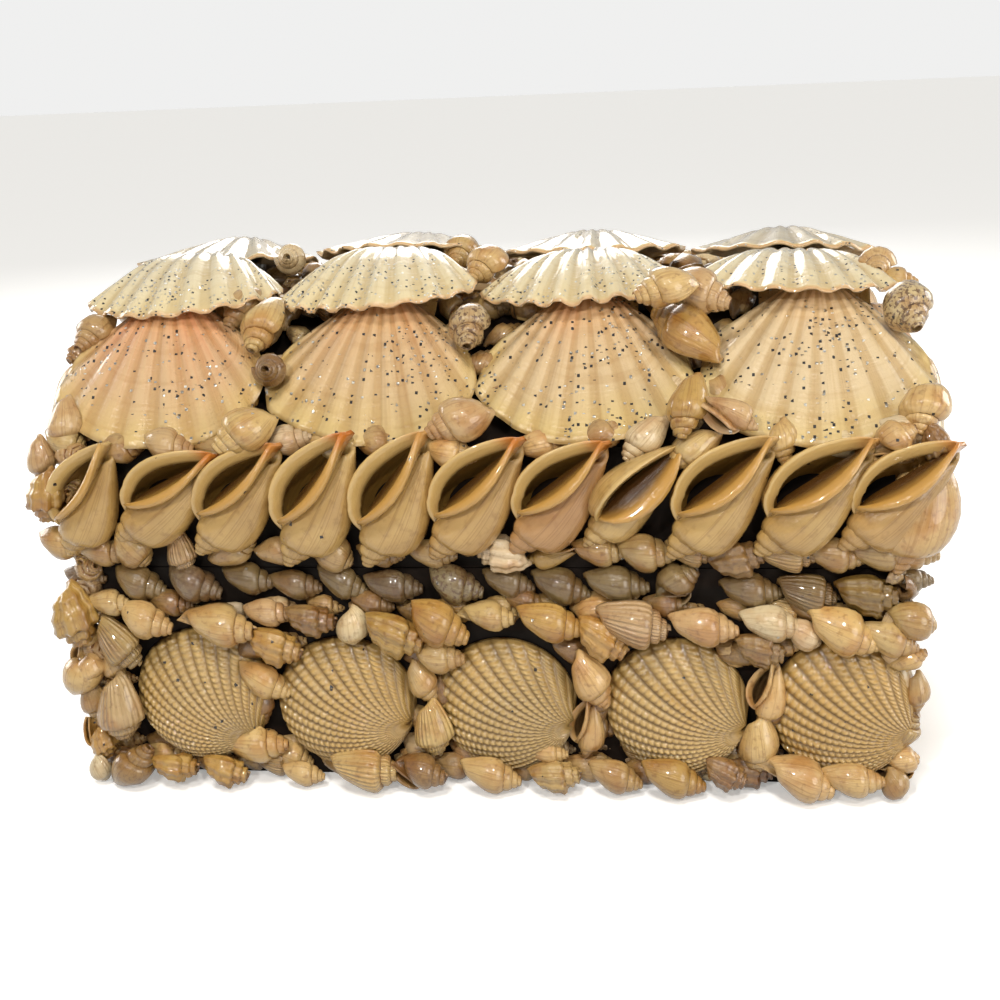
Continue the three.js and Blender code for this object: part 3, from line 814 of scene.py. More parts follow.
plainCockle = {"ribs": 17, "beads": 9}
cockleRows = {
    "front_cockle": {"side": "front", "fans": [36, 14, 11, 13, 15], "golden": [0.1, 0.35, 0.3, 0.2, 0.8],
                     "lifts": [2.5, 0, 0, 0, 0], "shape": {}},
    "back_cockle": {"side": "back", "fans": [14, 18, 12, 16], "golden": [0.2, 0.3, 0.4, 0.2],
                    "shape": plainCockle},
    "right_cockle": {"side": "right", "fans": [28, 12, 18], "golden": [0.4, 0.3, 0.2],
                     "shape": plainCockle},
    "left_cockle": {"side": "left", "fans": [28, 12, 18], "golden": [0.3, 0.2, 0.4], "shape": plainCockle},
}


def makeCockles():
    total = 0
    for rowNumber, (rowName, row) in enumerate(cockleRows.items()):
        for k, fan in enumerate(row["fans"]):
            node = f"{rowName}_{k + 1}"
            patch = cockle({**row["shape"], "golden": row["golden"][k]}, 5 * rowNumber + k)
            patch = moved(patch, turnMatrix(90, 0, -90 - fan))
            patch = moved(patch, turnMatrix(spin=sideTurns[row["side"]]))
            patch = moved(settled(patch, node), None, (0, 0, row.get("lifts", [0] * 5)[k]))
            total += makePiece(f"{node}_shell", [patch], finishes["cockle"], "cockle", [node])
    return total


triangleCount["cockles"] = makeCockles()
print("cockles made", triangleCount)


# Lengths are shares of the shell's length. A mouth's outline is given as (out from the axis, down from the
# apex), on its outer side from the suture to the canal and on its inner side back again. A shell grows by a
# fixed factor each turn, or by the shares given as (turn, share of full size) for its width and its height.
spiralKinds = {
    "conch": {
        "widths": [(-6, 0.05), (-4, 0.13), (-3, 0.21), (-2, 0.34), (-1.5, 0.42), (-1, 0.49), (-0.87, 0.54),
                   (-0.75, 0.66),
                   (-0.62, 0.81), (-0.5, 0.88), (-0.25, 0.96), (0, 1)],
        "heights": [(-6, 0.06), (-4, 0.16), (-3, 0.25), (-2, 0.40), (-1, 0.64), (-0.5, 0.80), (0, 1)],
        "growCanal": 1.22, "turns": 4.2, "perTurn": 24, "outerCount": 21, "innerCount": 12,
        "outer": [(0.12, 0.245), (0.205, 0.285), (0.262, 0.36), (0.27, 0.48), (0.235, 0.63), (0.16, 0.79),
                  (0.09, 0.92),
                  (0.04, 1.0)],
        "inner": [(0.012, 0.985), (0.03, 0.90), (0.052, 0.79), (0.078, 0.66), (0.102, 0.52), (0.118, 0.40),
                  (0.112, 0.31)],
        "lip": 0.028, "thick": 0.06, "callus": 0.205, "callusPower": 0.8, "roll": 0.085, "wing": 0.07,
        "depth": 0.5,
        "knobs": 9, "knobHeight": 0.010, "knobAt": 0.16, "flatten": 0.84,
    },
    "dove": {
        "grow": 1.5, "turns": 3.3, "perTurn": 11, "outerCount": 10, "innerCount": 3,
        "outer": [(0.17, 0.36), (0.26, 0.42), (0.295, 0.53), (0.275, 0.68), (0.21, 0.83), (0.155, 0.95),
                  (0.11, 1.0)],
        "inner": [(0.04, 0.985), (0.06, 0.82), (0.13, 0.65), (0.18, 0.49)],
        "lip": 0.03, "callus": 0.05, "depth": 0.25,
    },
    "ribbed": {
        "grow": 1.55, "turns": 3.1, "perTurn": 12, "outerCount": 10, "innerCount": 3,
        "outer": [(0.20, 0.34), (0.305, 0.38), (0.335, 0.47), (0.31, 0.63), (0.25, 0.80), (0.19, 0.94),
                  (0.12, 1.0)],
        "inner": [(0.04, 0.985), (0.06, 0.82), (0.13, 0.62), (0.20, 0.45)],
        "lip": 0.03, "callus": 0.05, "depth": 0.25, "striae": 0.8,
    },
    "nassa": {
        "grow": 1.46, "turns": 3.5, "perTurn": 15, "outerCount": 10, "innerCount": 3,
        "outer": [(0.20, 0.42), (0.29, 0.48), (0.325, 0.59), (0.30, 0.75), (0.21, 0.90), (0.13, 1.0)],
        "inner": [(0.04, 0.97), (0.07, 0.84), (0.15, 0.70), (0.21, 0.54)],
        "lip": 0.035, "callus": 0.04, "depth": 0.25, "ribs": 8, "ribHeight": 0.018,
    },
    "knobby": {
        "grow": 1.5, "turns": 2.9, "perTurn": 30, "outerCount": 15, "innerCount": 3,
        "outer": [(0.17, 0.40), (0.255, 0.45), (0.285, 0.57), (0.245, 0.76), (0.18, 0.91), (0.11, 1.0)],
        "inner": [(0.04, 0.97), (0.08, 0.84), (0.14, 0.70), (0.18, 0.53)],
        "lip": 0.035, "callus": 0.04, "depth": 0.25, "ribs": 9, "ribHeight": 0.05, "cords": 4,
        "cordHeight": 0.02,
        "knobs": 9, "knobHeight": 0.035, "knobAt": 0.25,
    },
    "cerith": {
        "grow": 1.30, "turns": 6.0, "perTurn": 12, "outerCount": 8, "innerCount": 3,
        "outer": [(0.125, 0.625), (0.18, 0.675), (0.195, 0.76), (0.16, 0.87), (0.09, 0.98)],
        "inner": [(0.03, 0.97), (0.05, 0.87), (0.125, 0.73)],
        "lip": 0.03, "callus": 0.03, "depth": 0.25, "knobs": 6, "knobHeight": 0.03, "knobAt": 0.35,
    },
    "moon": {
        "grow": 1.8, "turns": 2.7, "perTurn": 13, "outerCount": 10, "innerCount": 3,
        "outer": [(0.19, 0.17), (0.34, 0.24), (0.44, 0.46), (0.39, 0.76), (0.22, 0.96), (0.12, 1.0)],
        "inner": [(0.04, 0.93), (0.09, 0.75), (0.18, 0.52), (0.25, 0.33)],
        "lip": 0.03, "callus": 0.05, "depth": 0.25,
    },
    "turban": {
        "grow": 1.55, "turns": 3.4, "perTurn": 13, "outerCount": 12, "innerCount": 3,
        "outer": [(0.24, 0.36), (0.36, 0.43), (0.42, 0.6), (0.36, 0.82), (0.22, 0.97), (0.12, 1.0)],
        "inner": [(0.05, 0.95), (0.10, 0.8), (0.2, 0.64), (0.27, 0.48)],
        "lip": 0.04, "callus": 0.03, "depth": 0.25, "cords": 3, "cordHeight": 0.011,
    },
}


def spiralShell(kind, length, detail=1.0):
    # The mouth's outline is carried round the axis, from the apex to the mouth, and is smaller the further
    # back from the mouth it is. At the mouth it rolls over a lip and runs back inside. The inner side goes
    # on a little past the mouth, as the callus on the body whorl. Apex at z 0, canal up, mouth facing -Y on
    # the -X side.
    outer = smoothThrough(kind["outer"], max(6, round(kind["outerCount"] * detail)))
    inner = smoothThrough(kind["inner"], max(3, round(kind["innerCount"] * detail)))
    outline = np.vstack([outer, inner])
    onOuter = np.r_[np.linspace(0, 1, len(outer)), np.full(len(inner), -1.0)][None, :]
    isOuter = onOuter >= 0
    hump = np.sin(np.linspace(0.12, math.pi - 0.25, len(inner))) ** kind.get("callusPower", 1.0)
    onInner = np.r_[np.zeros(len(outer)), hump][None, :]
    ahead = np.roll(outline, -1, 0) - np.roll(outline, 1, 0)
    normal = np.stack([-ahead[:, 1], ahead[:, 0]], -1)
    normal /= np.linalg.norm(normal, axis=1, keepdims=True) + 1e-9
    normal *= np.sign(((outline - outline.mean(0)) * normal).sum(1).mean())
    steps = max(14, round(kind["turns"] * kind["perTurn"] * detail))
    lip = kind["lip"]
    rolling = kind.get("roll", 0) > 0
    edgeTurns = [0.009, 0.014, 0.013, 0.004, -0.012] if rolling else [0.012, 0.010, 0.0]
    edgeOffsets = [0.1, -0.15, -0.6, -0.95, -1.05] if rolling else [0.0, -0.5, -1.0]
    inwards = -np.r_[0.024, 0.038,
                     np.linspace(0.055, kind["depth"], max(2, round((12 if rolling else 4) * detail)))]
    turns = np.r_[-kind["turns"] * np.linspace(1, 0, steps) ** 1.2, edgeTurns, inwards]
    offset = np.r_[np.zeros(steps), np.array(edgeOffsets) * lip, np.full(len(inwards), -lip)]
    mouth = np.r_[np.zeros(steps), np.linspace(0.02, 0.3, len(edgeTurns)),
                  np.linspace(0.36, 1, len(inwards))]
    turns, offset, mouth = turns[:, None], offset[:, None], mouth[:, None]
    rim = np.clip(1 + turns / 0.16, 0, 1)
    turnAt = turns + kind["callus"] * onInner * rim
    round_ = math.pi + 2 * math.pi * turnAt
    if "widths" in kind:
        knots, widths = np.array(kind["widths"]).T
        heightKnots, heights = np.array(kind["heights"]).T
        width = np.exp(np.interp(turnAt, knots, np.log(widths)))
        inside = np.exp(np.interp(turnAt - 1, knots, np.log(widths)) - np.interp(-1, knots, np.log(widths)))
        width = np.where(isOuter, width, inside)
        height = np.exp(np.interp(turnAt, heightKnots, np.log(heights)))
    else:
        width = height = kind["grow"] ** turnAt
    canal = kind["growCanal"] ** turnAt if "growCanal" in kind else height
    window = np.where(isOuter, np.sin(math.pi * np.clip(onOuter, 0, 1)) ** 0.5, 0)
    outside = (mouth == 0) * np.clip(-turns * 12, 0, 1)
    relief = np.zeros_like(turnAt)
    relief += (
        kind.get("ribHeight", 0) * (0.5 + 0.5 * np.cos(round_ * kind.get("ribs", 1)))
        * window * outside
    )
    relief += (
        kind.get("cordHeight", 0) * np.cos(2 * math.pi * kind.get("cords", 1) * onOuter)
        * window * outside
    )
    bump = np.exp(-(((onOuter - kind.get("knobAt", 0.3)) / 0.13) ** 2)) * isOuter
    relief += (
        kind.get("knobHeight", 0) * (0.5 + 0.5 * np.cos(round_ * kind.get("knobs", 1))) ** 2
        * bump * outside
    )
    flare = kind.get("wing", 0) * np.clip(1 + turns / 0.3, 0, 1) ** 2
    relief += flare * np.sin(math.pi * np.clip((onOuter - 0.3) / 0.66, 0, 1)) * isOuter
    rolled = kind.get("roll", 0) * np.exp(-((turns / 0.024) ** 2)) * onInner**0.4 * (mouth > 0.05)
    rolled = rolled + (
        kind.get("thick", 0) * np.exp(-(((turns + 0.03) / 0.06) ** 2)) * isOuter
        * (mouth > 0.2) * window
    )
    total = relief + offset - rolled
    r = np.maximum(outline[:, 0] + normal[:, 0] * total, 0.004)
    z = outline[:, 1] + normal[:, 1] * total
    top = kind["outer"][2][1]
    share = np.clip((z - top) / (1 - top), 0, 1) ** 0.6
    x = width * r * np.cos(round_)
    y = width * r * np.sin(round_) * kind.get("flatten", 1)
    z = z * (height * (1 - share) + canal * share)
    rows, columns = turnAt.shape
    points = np.stack([x, y, z], -1).reshape(-1, 3)
    points = np.vstack([points, points[:columns].mean(0), points[-columns:].mean(0)]) * length
    column = np.arange(columns)
    beside = (column + 1) % columns
    end = (rows - 1) * columns
    capStart = np.stack([np.full(columns, len(points) - 2), beside, column], -1)
    capEnd = np.stack([np.full(columns, len(points) - 1), end + column, end + beside], -1)
    triangles = np.vstack([gridTriangles(rows, columns, True), capStart, capEnd])
    ones = np.ones_like(turnAt)
    marks = {
        # mouth grows from the lip into the hollow and sets the painted shade there, deeper still on the
        # inner side against the body whorl
        "mouth": np.clip(mouth + np.clip(-9 * turns, 0, 0.5) * onInner**0.4 * (mouth > 0.3), 0, 1),
        "turn": turnAt,
        "across": np.where(isOuter, onOuter, 0) * ones,
        # suture marks the crease between whorls, where the finishes paint shade
        "suture": np.exp(-((onOuter / 0.07) ** 2)) * isOuter * (mouth == 0),
        "band": np.clip(1.8 * np.exp(-((turns / 0.028) ** 2)) * onInner**0.4, 0, 1) * (mouth > 0.01),
        "lip": 0.9 * np.exp(-((turns / 0.07) ** 2)) * isOuter * (mouth > 0),
        "along": z / z.max(),
        "striae": kind.get("striae", 0) * window * ones,
    }
    shade = {key: np.r_[value.ravel(), value.ravel()[0], value.ravel()[-1]] for key, value in marks.items()}
    return closed(points - np.array([0, 0, length / 2]), triangles, shade)


conchRows = {
    "front_conch": {
        "side": "front", "roll": 12, "detail": 1.0,
        "leans": [29, 54, 42, 31, 29, 40, 43, 44, 42, 46, 48],
        "turns": [0, 0, 0, 0, 0, 0, 0, 40, 0, 0, 0],
        "sizes": [0.9, 0.98, 1, 1.06, 1.05, 1.04, 1, 0.95, 1.05, 1.06, 1],
        "tones": [0.35, 0.45, 0.4, 0.7, 0.5, 0.35, 0.2, 0.8, 0.45, 0.5, 0.25],
        "pinks": [0, 0, 0, 0, 0, 0.1, 0.55, 0, 0, 0, 0.15],
        "stains": [0, 0.9, 0.7, 1, 0.3, 0.9, 0.8, 0, 0.1, 0.3, 0.6],
    },
}
endConchs = {
    "roll": 150, "detail": 0.64, "leans": [56, 60, 54, 58], "turns": [0] * 4,
    "sizes": [0.84, 0.82, 0.85, 0.82],
    "tones": [0.4, 0.6, 0.3, 0.5], "pinks": [0, 0.2, 0, 0.1], "stains": [0.3, 0, 0.5, 0],
}
for end in ("right", "left"):
    conchRows[f"{end}_conch"] = {**endConchs, "side": end}
conchLength = 48


def makeConchs():
    total = 0
    for rowName, row in conchRows.items():
        for k, lean in enumerate(row["leans"]):
            node = f"{rowName}_{k + 1}"
            patch = spiralShell(spiralKinds["conch"], conchLength * row["sizes"][k], row["detail"])
            along = patch["shade"]["along"]
            stain = row["stains"][k] * np.clip((along - 0.86) / 0.08, 0, 1) * (patch["shade"]["mouth"] > 0)
            patch = flat(patch, tone=row["tones"][k], pink=row["pinks"][k])
            patch["shade"]["stain"] = stain
            patch = moved(patch, turnMatrix(0, lean, row["roll"] + row["turns"][k]))
            patch = moved(patch, turnMatrix(spin=sideTurns[row["side"]]))
            patch = settled(patch, node, row["side"])
            total += makePiece(f"{node}_shell", [patch], finishes["conch"], "conch", [node])
    return total


triangleCount["conchs"] = makeConchs()
print("conchs made", triangleCount)


tints = {
    "cream": (0.66, 0.45, 0.19), "tan": (0.50, 0.33, 0.135), "gold": (0.52, 0.31, 0.085),
    "brown": (0.32, 0.185, 0.065),
    "pink": (0.60, 0.40, 0.195), "white": (0.74, 0.60, 0.38), "mottled": (0.48, 0.34, 0.175),
    "speckled": (0.58, 0.44, 0.24),
}
spotted = {"mottled": 0.5, "speckled": 0.85, "brown": 0.3}
smallShells = {
    "sunk": 1.2, "tintSpread": 0.09, "hueSpread": 0.03, "lengthSpread": 0.05, "enlarged": 1.17,
    "darkened": (0.90, 0.89, 0.84), "conchDetail": 0.55, "clearOfFloor": 0.4,
}


def smallShell(kind, length, lean, roll, tint, chance, slope=0.0, detail=1.0, glitter=0.01):
    # lean turns the apex from straight up towards the right, and slope lays the shell back from upright
    spread = smallShells["tintSpread"]
    hue = smallShells["hueSpread"]
    colour = np.array(tints[tint]) * np.array(smallShells["darkened"])
    colour = colour * (1 + chance.uniform(-spread, spread)) * (1 + chance.uniform(-hue, hue, 3))
    length *= smallShells["enlarged"] * (1 + chance.uniform(-1, 1) * smallShells["lengthSpread"])
    patch = spiralShell(spiralKinds[kind], length,
                        detail * (smallShells["conchDetail"] if kind == "conch" else 1))
    patch = flat(patch, tint=(*colour, 1.0), spots=spotted.get(tint, 0.0), glitter=glitter)
    patch["shade"]["turn"] = patch["shade"]["turn"] + chance.uniform(0, 50)
    return moved(moved(patch, turnMatrix(0, lean + 180, roll)), turnMatrix(-slope))


def onWall(patch, side, along, height, standoff=0.0):
    # Centred at that place on a wall, its back sunk a little into the glue, and never below the underside.
    points = patch["points"]
    middle = (points.min(0) + points.max(0)) / 2
    low = points[:, 2].min() - middle[2]
    height = max(height, smallShells["clearOfFloor"] - low)
    depth = -(wallOut[side] + standoff) + smallShells["sunk"] - points[:, 1].max()
    depth = max(depth, -(wallOut[side] + wallRoom[side]) - points[:, 1].min())
    return toSide(moved(patch, None, (along - middle[0], depth, height - middle[2])), side)


def atPlace(patch, place):
    middle = (patch["points"].min(0) + patch["points"].max(0)) / 2
    return moved(patch, None, np.array(place, float) - middle)


# kind, along the wall, height, length, lean, roll, tint
baseTopRow = [
    ("dove", -127, 69, 14, 95, 170, "tan"), ("nassa", -108, 68, 17, 112, 170, "tan"),
    ("nassa", -90, 68, 19, 115, 160, "mottled"), ("dove", -73, 69, 17, 100, 175, "tan"),
    ("dove", -58, 67, 17, 98, 165, "tan"), ("dove", -43, 68, 17, 115, 170, "tan"),
    ("dove", -27, 67, 18, 98, 160, "mottled"), ("nassa", -7, 68, 18, 110, 165, "speckled"),
    ("dove", 9, 68, 17, 105, 170, "tan"), ("dove", 25, 67, 18, 108, 175, "tan"),
    ("dove", 42, 68, 19, 97, 165, "tan"), ("turban", 60, 68, 16, 60, 0, "cream"),
    ("dove", 82, 66, 18, 95, 170, "tan"), ("ribbed", 99, 65, 18, 105, 165, "tan"),
    ("knobby", 116, 65, 20, 98, 170, "gold"), ("dove", 129, 69, 13, 95, 150, "tan"),
]
baseSecondRow = [
    ("knobby", -129, 59, 22, 170, 200, "gold"), ("dove", -119, 62, 16, 92, -40, "cream"),
    ("nassa", -106, 57, 17, 112, 170, "cream"), ("dove", -83, 56, 24, 100, -60, "cream"),
    ("dove", -67, 59, 16, 92, 170, "pink"), ("knobby", -65, 48, 18, 110, 170, "gold"),
    ("knobby", -53, 57, 16, 100, 160, "brown"), ("moon", -40, 55, 12, 175, 170, "white"),
    ("knobby", -26, 53, 20, 115, 165, "gold"), ("nassa", -12, 57, 21, 120, 170, "gold"),
    ("dove", 2, 59, 19, 95, -50, "cream"), ("nassa", -13, 45, 16, 95, 175, "cream"),
    ("dove", 22, 57, 20, 105, 165, "gold"), ("knobby", 38, 52, 18, 125, 170, "gold"),
    ("ribbed", 47, 57, 23, 103, 170, "pink"), ("dove", 68, 56, 21, 98, 165, "pink"),
    ("dove", 88, 57, 19, 98, 170, "white"), ("knobby", 85, 48, 17, 105, 170, "brown"),
    ("moon", 98, 53, 11, 120, 160, "white"), ("dove", 109, 55, 22, 115, 175, "cream"),
    ("dove", 123, 52, 18, 112, 165, "cream"), ("dove", 128, 44, 13, 60, -30, "cream"),
    ("moon", 129, 58, 13, 100, 170, "tan"),
]
baseGaps = [
    ("ribbed", -116, 49, 20, 145, 170, "tan"), ("dove", -127, 50, 12, 150, 170, "cream"),
    ("moon", -130, 37, 15, 20, 170, "cream"), ("turban", -128, 41, 14, 170, -20, "cream"),
    ("dove", -120, 40, 14, 160, 170, "tan"), ("ribbed", -118, 27, 24, 178, 165, "pink"),
    ("dove", -128, 28, 15, 170, 165, "tan"), ("knobby", -127, 15, 15, 165, 10, "gold"),
    ("dove", -70, 36, 18, 120, 170, "cream"), ("dove", -75, 14, 21, 92, 170, "cream"),
    ("dove", -19, 36, 15, 150, 170, "cream"), ("ribbed", -16, 21, 19, 172, 165, "cream"),
    ("dove", 34, 38, 21, 150, 170, "cream"), ("conch", 32, 21, 19, 188, 0, "cream"),
    ("conch", 87, 34, 20, 192, 0, "cream"), ("dove", 85, 17, 20, 178, 170, "cream"),
    ("ribbed", 128, 21, 14, 30, 160, "tan"), ("moon", 126, 11, 14, 80, 10, "cream"),
]
baseBottom = [
    ("nassa", -115, 8, 18, 40, 165, "brown"), ("knobby", -101, 7, 15, 100, 150, "gold"),
    ("knobby", -84, 5, 15, 110, 170, "gold"), ("moon", -127, 5, 9, 160, 160, "white"),
    ("dove", -59, 5, 14, 100, 170, "cream"), ("ribbed", -38, 5, 22, 97, 165, "cream"),
    ("nassa", -21, 8, 18, 110, 0, "brown"), ("dove", 2, 7, 20, 105, 170, "cream"),
    ("knobby", 22, 7, 16, 90, 170, "tan"), ("dove", 20, 14, 12, 95, 170, "cream"),
    ("dove", 41, 7, 18, 110, 170, "tan"), ("dove", 59, 5, 21, 108, 170, "gold"),
    ("knobby", 75, 9, 16, 120, 170, "brown"), ("dove", 96, 6, 25, 112, -55, "cream"),
    ("dove", 113, 8, 20, 95, 170, "cream"), ("moon", 126, 4, 10, 150, 170, "tan"),
]
# these lie further back, against the wall, under and between the others
baseUnderlayer = [
    ("ribbed", -70, 3, 15, 100, 170, "tan"), ("dove", -91, 3, 15, 95, 170, "tan"),
    ("dove", -48, 3, 14, 98, 165, "tan"), ("nassa", -24, 3, 13, 100, 170, "mottled"),
    ("dove", -11, 3, 15, 95, 165, "tan"), ("dove", 11, 3, 16, 100, 165, "tan"),
    ("dove", 32, 3, 16, 100, 165, "tan"), ("cerith", 72, 3, 13, 100, 170, "white"),
    ("knobby", 82, 3, 17, 95, 170, "brown"), ("dove", 108, 3, 18, 98, 165, "tan"),
    ("dove", -122, 3, 15, 100, 170, "brown"), ("nassa", 50, 3, 14, 80, 170, "brown"),
    ("dove", -18, 45, 14, 60, 170, "brown"), ("dove", 80, 46, 15, 70, 170, "brown"),
    ("dove", 28, 46, 15, 110, 170, "brown"), ("dove", -72, 47, 15, 60, 170, "brown"),
    ("dove", -99, 61, 14, 100, 170, "brown"), ("dove", -34, 61, 14, 100, 170, "brown"),
    ("dove", 14, 62, 14, 100, 170, "brown"), ("dove", 57, 61, 14, 95, 170, "brown"),
    ("dove", 100, 60, 14, 100, 170, "brown"), ("dove", -14, 30, 14, 170, 170, "brown"),
    ("dove", 36, 29, 14, 170, 170, "brown"), ("dove", 89, 26, 14, 175, 170, "brown"),
    ("dove", -73, 26, 15, 175, 170, "brown"), ("dove", 132, 33, 14, 175, 170, "tan"),
]
underConchs = [
    ("dove", -119, 79, 16, 100, 160, "tan"), ("moon", -108, 81, 15, 140, 165, "tan"),
    ("ribbed", -93, 79, 15, 170, 165, "pink"), ("dove", -77, 79, 17, 60, 170, "tan"),
    ("dove", -62, 79, 16, 80, 170, "tan"), ("moon", -45, 79, 14, 120, 170, "tan"),
    ("dove", -30, 78, 15, 95, 170, "brown"), ("dove", -14, 78, 16, 95, 165, "tan"),
    ("knobby", 8, 79, 17, 280, 170, "white"), ("conch", 23, 78, 16, 260, 0, "gold"),
    ("dove", 37, 79, 16, 95, 170, "tan"), ("nassa", 51, 79, 17, 95, 165, "tan"),
    ("ribbed", 64, 79, 15, 100, 160, "tan"), ("knobby", 77, 77, 17, 80, 165, "brown"),
    ("ribbed", 92, 79, 18, 95, 170, "tan"), ("dove", 106, 78, 17, 100, 165, "tan"),
    ("dove", 119, 79, 18, 95, 165, "tan"), ("nassa", 129, 79, 15, 100, 160, "cream"),
]
# kind, x, y, z, length, lean, slope, roll, tint, glitter
lidShells = [
    ("nassa", -126, -57, 142, 16, 205, 60, 170, "tan", 0.02),
    ("knobby", -131, -60, 136, 10, 220, 50, 170, "tan", 0.02),
    ("nassa", -78, -52, 148, 17, 205, 45, 170, "pink", 0.05),
    ("dove", -69, -60, 144, 22, 190, 54, 165, "cream", 0.05),
    ("turban", -64, -75, 133, 13, 180, 100, 0, "brown", 0.01),
    ("turban", -72, -12, 158, 14, 180, 100, 0, "white", 0.1),
    ("nassa", -68, -92, 118, 20, 235, 30, 170, "cream", 0.12),
    ("dove", -127, -86, 119, 17, 178, 20, 170, "pink", 0.03),
    ("nassa", -93, -90, 113, 16, 100, 20, 170, "pink", 0.03),
    ("dove", -57, -88, 114, 16, 80, 20, 170, "white", 0.03),
    ("turban", -13, -6, 158, 14, 190, 70, 170, "cream", 0.03),
    ("turban", -1, -30, 157, 15, 210, 60, 170, "cream", 0.02),
    ("nassa", -3, -63, 143, 19, 178, 60, 170, "speckled", 0.06),
    ("nassa", -3, -92, 121, 21, 245, 20, 170, "pink", 0.03),
    ("nassa", -6, -92, 111, 16, 100, 10, 170, "cream", 0.02),
    ("nassa", 57, -72, 155, 18, 250, 50, 170, "cream", 0.03),
    ("nassa", 68, -62, 152, 19, 120, 50, 165, "pink", 0.05),
    ("dove", 63, -66, 141, 27, 312, 54, 170, "gold", 0.01),
    ("dove", 63, -92, 124, 20, 190, 30, 165, "gold", 0.08),
    ("conch", 74, -95, 122, 17, 120, 20, -20, "pink", 0.01),
    ("dove", 51, -90, 114, 18, 220, 20, 170, "white", 0.02),
    ("dove", 65, -92, 111, 17, 230, 10, 170, "cream", 0.02),
    ("nassa", 90, -90, 113, 14, 170, 10, 170, "cream", 0.02),
    ("turban", 122, -38, 155, 14, 180, 90, 170, "pink", 0.05),
    ("turban", 128, -62, 146, 17, 165, 60, 170, "speckled", 0.05),
    ("nassa", 128, -44, 151, 12, 100, 60, 170, "cream", 0.03),
    ("turban", 130, -86, 121, 17, 195, 40, 170, "cream", 0.04),
    ("turban", 121, -92, 113, 14, 60, 0, 0, "cream", 0.02),
    ("dove", 124, -88, 115, 15, 100, 20, 170, "white", 0.02),
    ("knobby", 133, -90, 112, 13, 150, 0, 170, "brown", 0.01),
    ("dove", -136, -86, 108, 15, 175, 0, 170, "pink", 0.02),
    ("knobby", -134, -91, 98, 18, 185, 0, 170, "gold", 0.01),
    ("nassa", -131, -90, 82, 15, 100, 0, 170, "tan", 0.01),
    ("moon", -128, -86, 114, 13, 100, 20, 170, "cream", 0.01),
    ("conch", 129, -91, 90, 32, 195, 0, 180, "cream", 0.01),
    ("dove", 38, -88, 115, 16, 60, 20, 170, "tan", 0.01),
    ("nassa", -28, -88, 113, 15, 80, 20, 170, "tan", 0.01),
    ("dove", 20, -88, 112, 15, 80, 20, 170, "cream", 0.01),
    ("dove", 106, -88, 112, 16, 80, 20, 170, "white", 0.01),
    ("dove", -79, -88, 111, 16, 100, 20, 170, "tan", 0.01),
    ("dove", -110, -88, 112, 16, 80, 20, 170, "tan", 0.01),
    ("dove", -43, -88, 112, 15, 100, 20, 170, "cream", 0.01),
]


cockleSpots = (-91.9, -45.1, 6.3, 59.7, 109.8)


def handPlaced(entries, seed, standoff=0.0, paintedShadow=1.0):
    # the last argument darkens the tints of a row that sits under the lid's overhang: painted shadow
    chance = np.random.default_rng(seed)
    made = []
    for kind, along, height, length, lean, roll, tint in entries:
        patch = smallShell(kind, length, lean, roll, tint, chance)
        patch["shade"]["tint"] = patch["shade"]["tint"] * paintedShadow
        made.append(onWall(patch, "front", along, height, standoff))
    return made


# What the plain rows and the fillers draw from. A kind or colour that stands there twice is twice as
# likely.
plainKinds = ["dove", "nassa", "dove", "ribbed", "dove", "cerith", "moon", "dove", "turban", "nassa"]
plainTints = ["cream", "tan", "cream", "gold", "pink", "tan", "white", "brown", "mottled", "tan"]


def plainRow(side, height, pitch, length, seed, standoff=0.0, inset=2.0, lean=100, detail=0.58, gaps=()):
    # evenly spaced shells along a wall, each turned a little its own way
    chance = np.random.default_rng(seed)
    half = wallHalf[side] - inset
    count = max(2, round(2 * half / pitch) + 1)
    made = []
    for along in np.linspace(-half, half, count):
        kind, tint = chance.choice(plainKinds), chance.choice(plainTints)
        turn, rolled = chance.uniform(-14, 14), chance.uniform(150, 190)
        lift, longer = chance.uniform(-1.5, 1.5), chance.uniform(0.85, 1.12)
        if any(abs(along - gap) < room for gap, room in gaps):
            continue
        patch = smallShell(kind, length * longer, lean + turn, rolled, tint, chance, 0.0, detail)
        made.append(onWall(patch, side, along, height + lift, standoff))
    return made


# The lid's outline, for the shells that fill it between the valves: the height where its slopes start, how
# far they rise, and how far they run inwards on the way. The joints are the places along the box where two
# valves meet.
lidShape = {"shoulder": 110.3, "rise": 32, "frontRun": 47, "endRun": 10}
joints = (-133, -66.6, 0, 66.6, 133)
fillers = {"detail": 0.5, "pitch": 12.5, "length": 14.5, "jitter": 1.5}
slopeFill = {"ups": (0.12, 0.34, 0.56, 0.78, 1.0), "layBack": 54, "off": 2, "lift": 2.5, "within": 122}
# rows across the flat top: place from front to back, and half the width they fill at each joint
topFill = {
    "rows": ((-36, 6), (-24, 12), (-12, 18), (-1, 18), (12, 12), (24, 16), (35, 21), (46, 24)),
    "layBack": 90, "lift": 3, "within": 113,
}
endFill = {"ups": (0.08, 0.4, 0.7, 0.97), "pitch": 13.5, "length": 16, "layBack": 17, "off": 3, "inset": 5}
columnFill = {"low": 9, "high": 110, "length": 13.5, "off": 2}


def filler(chance, length, slope, lean):
    kind, tint = chance.choice(plainKinds), chance.choice(plainTints)
    longer = chance.uniform(0.85, 1.15)
    return smallShell(kind, length * longer, lean, chance.uniform(150, 190), tint, chance, slope,
                      fillers["detail"])


def alongJoint(joint, room, chance):
    # places a filler's pitch apart, each a little off, as far as the room on both sides of a joint goes
    for along in np.arange(-room, room + 1, fillers["pitch"]):
        yield joint + along + chance.uniform(-fillers["jitter"], fillers["jitter"])


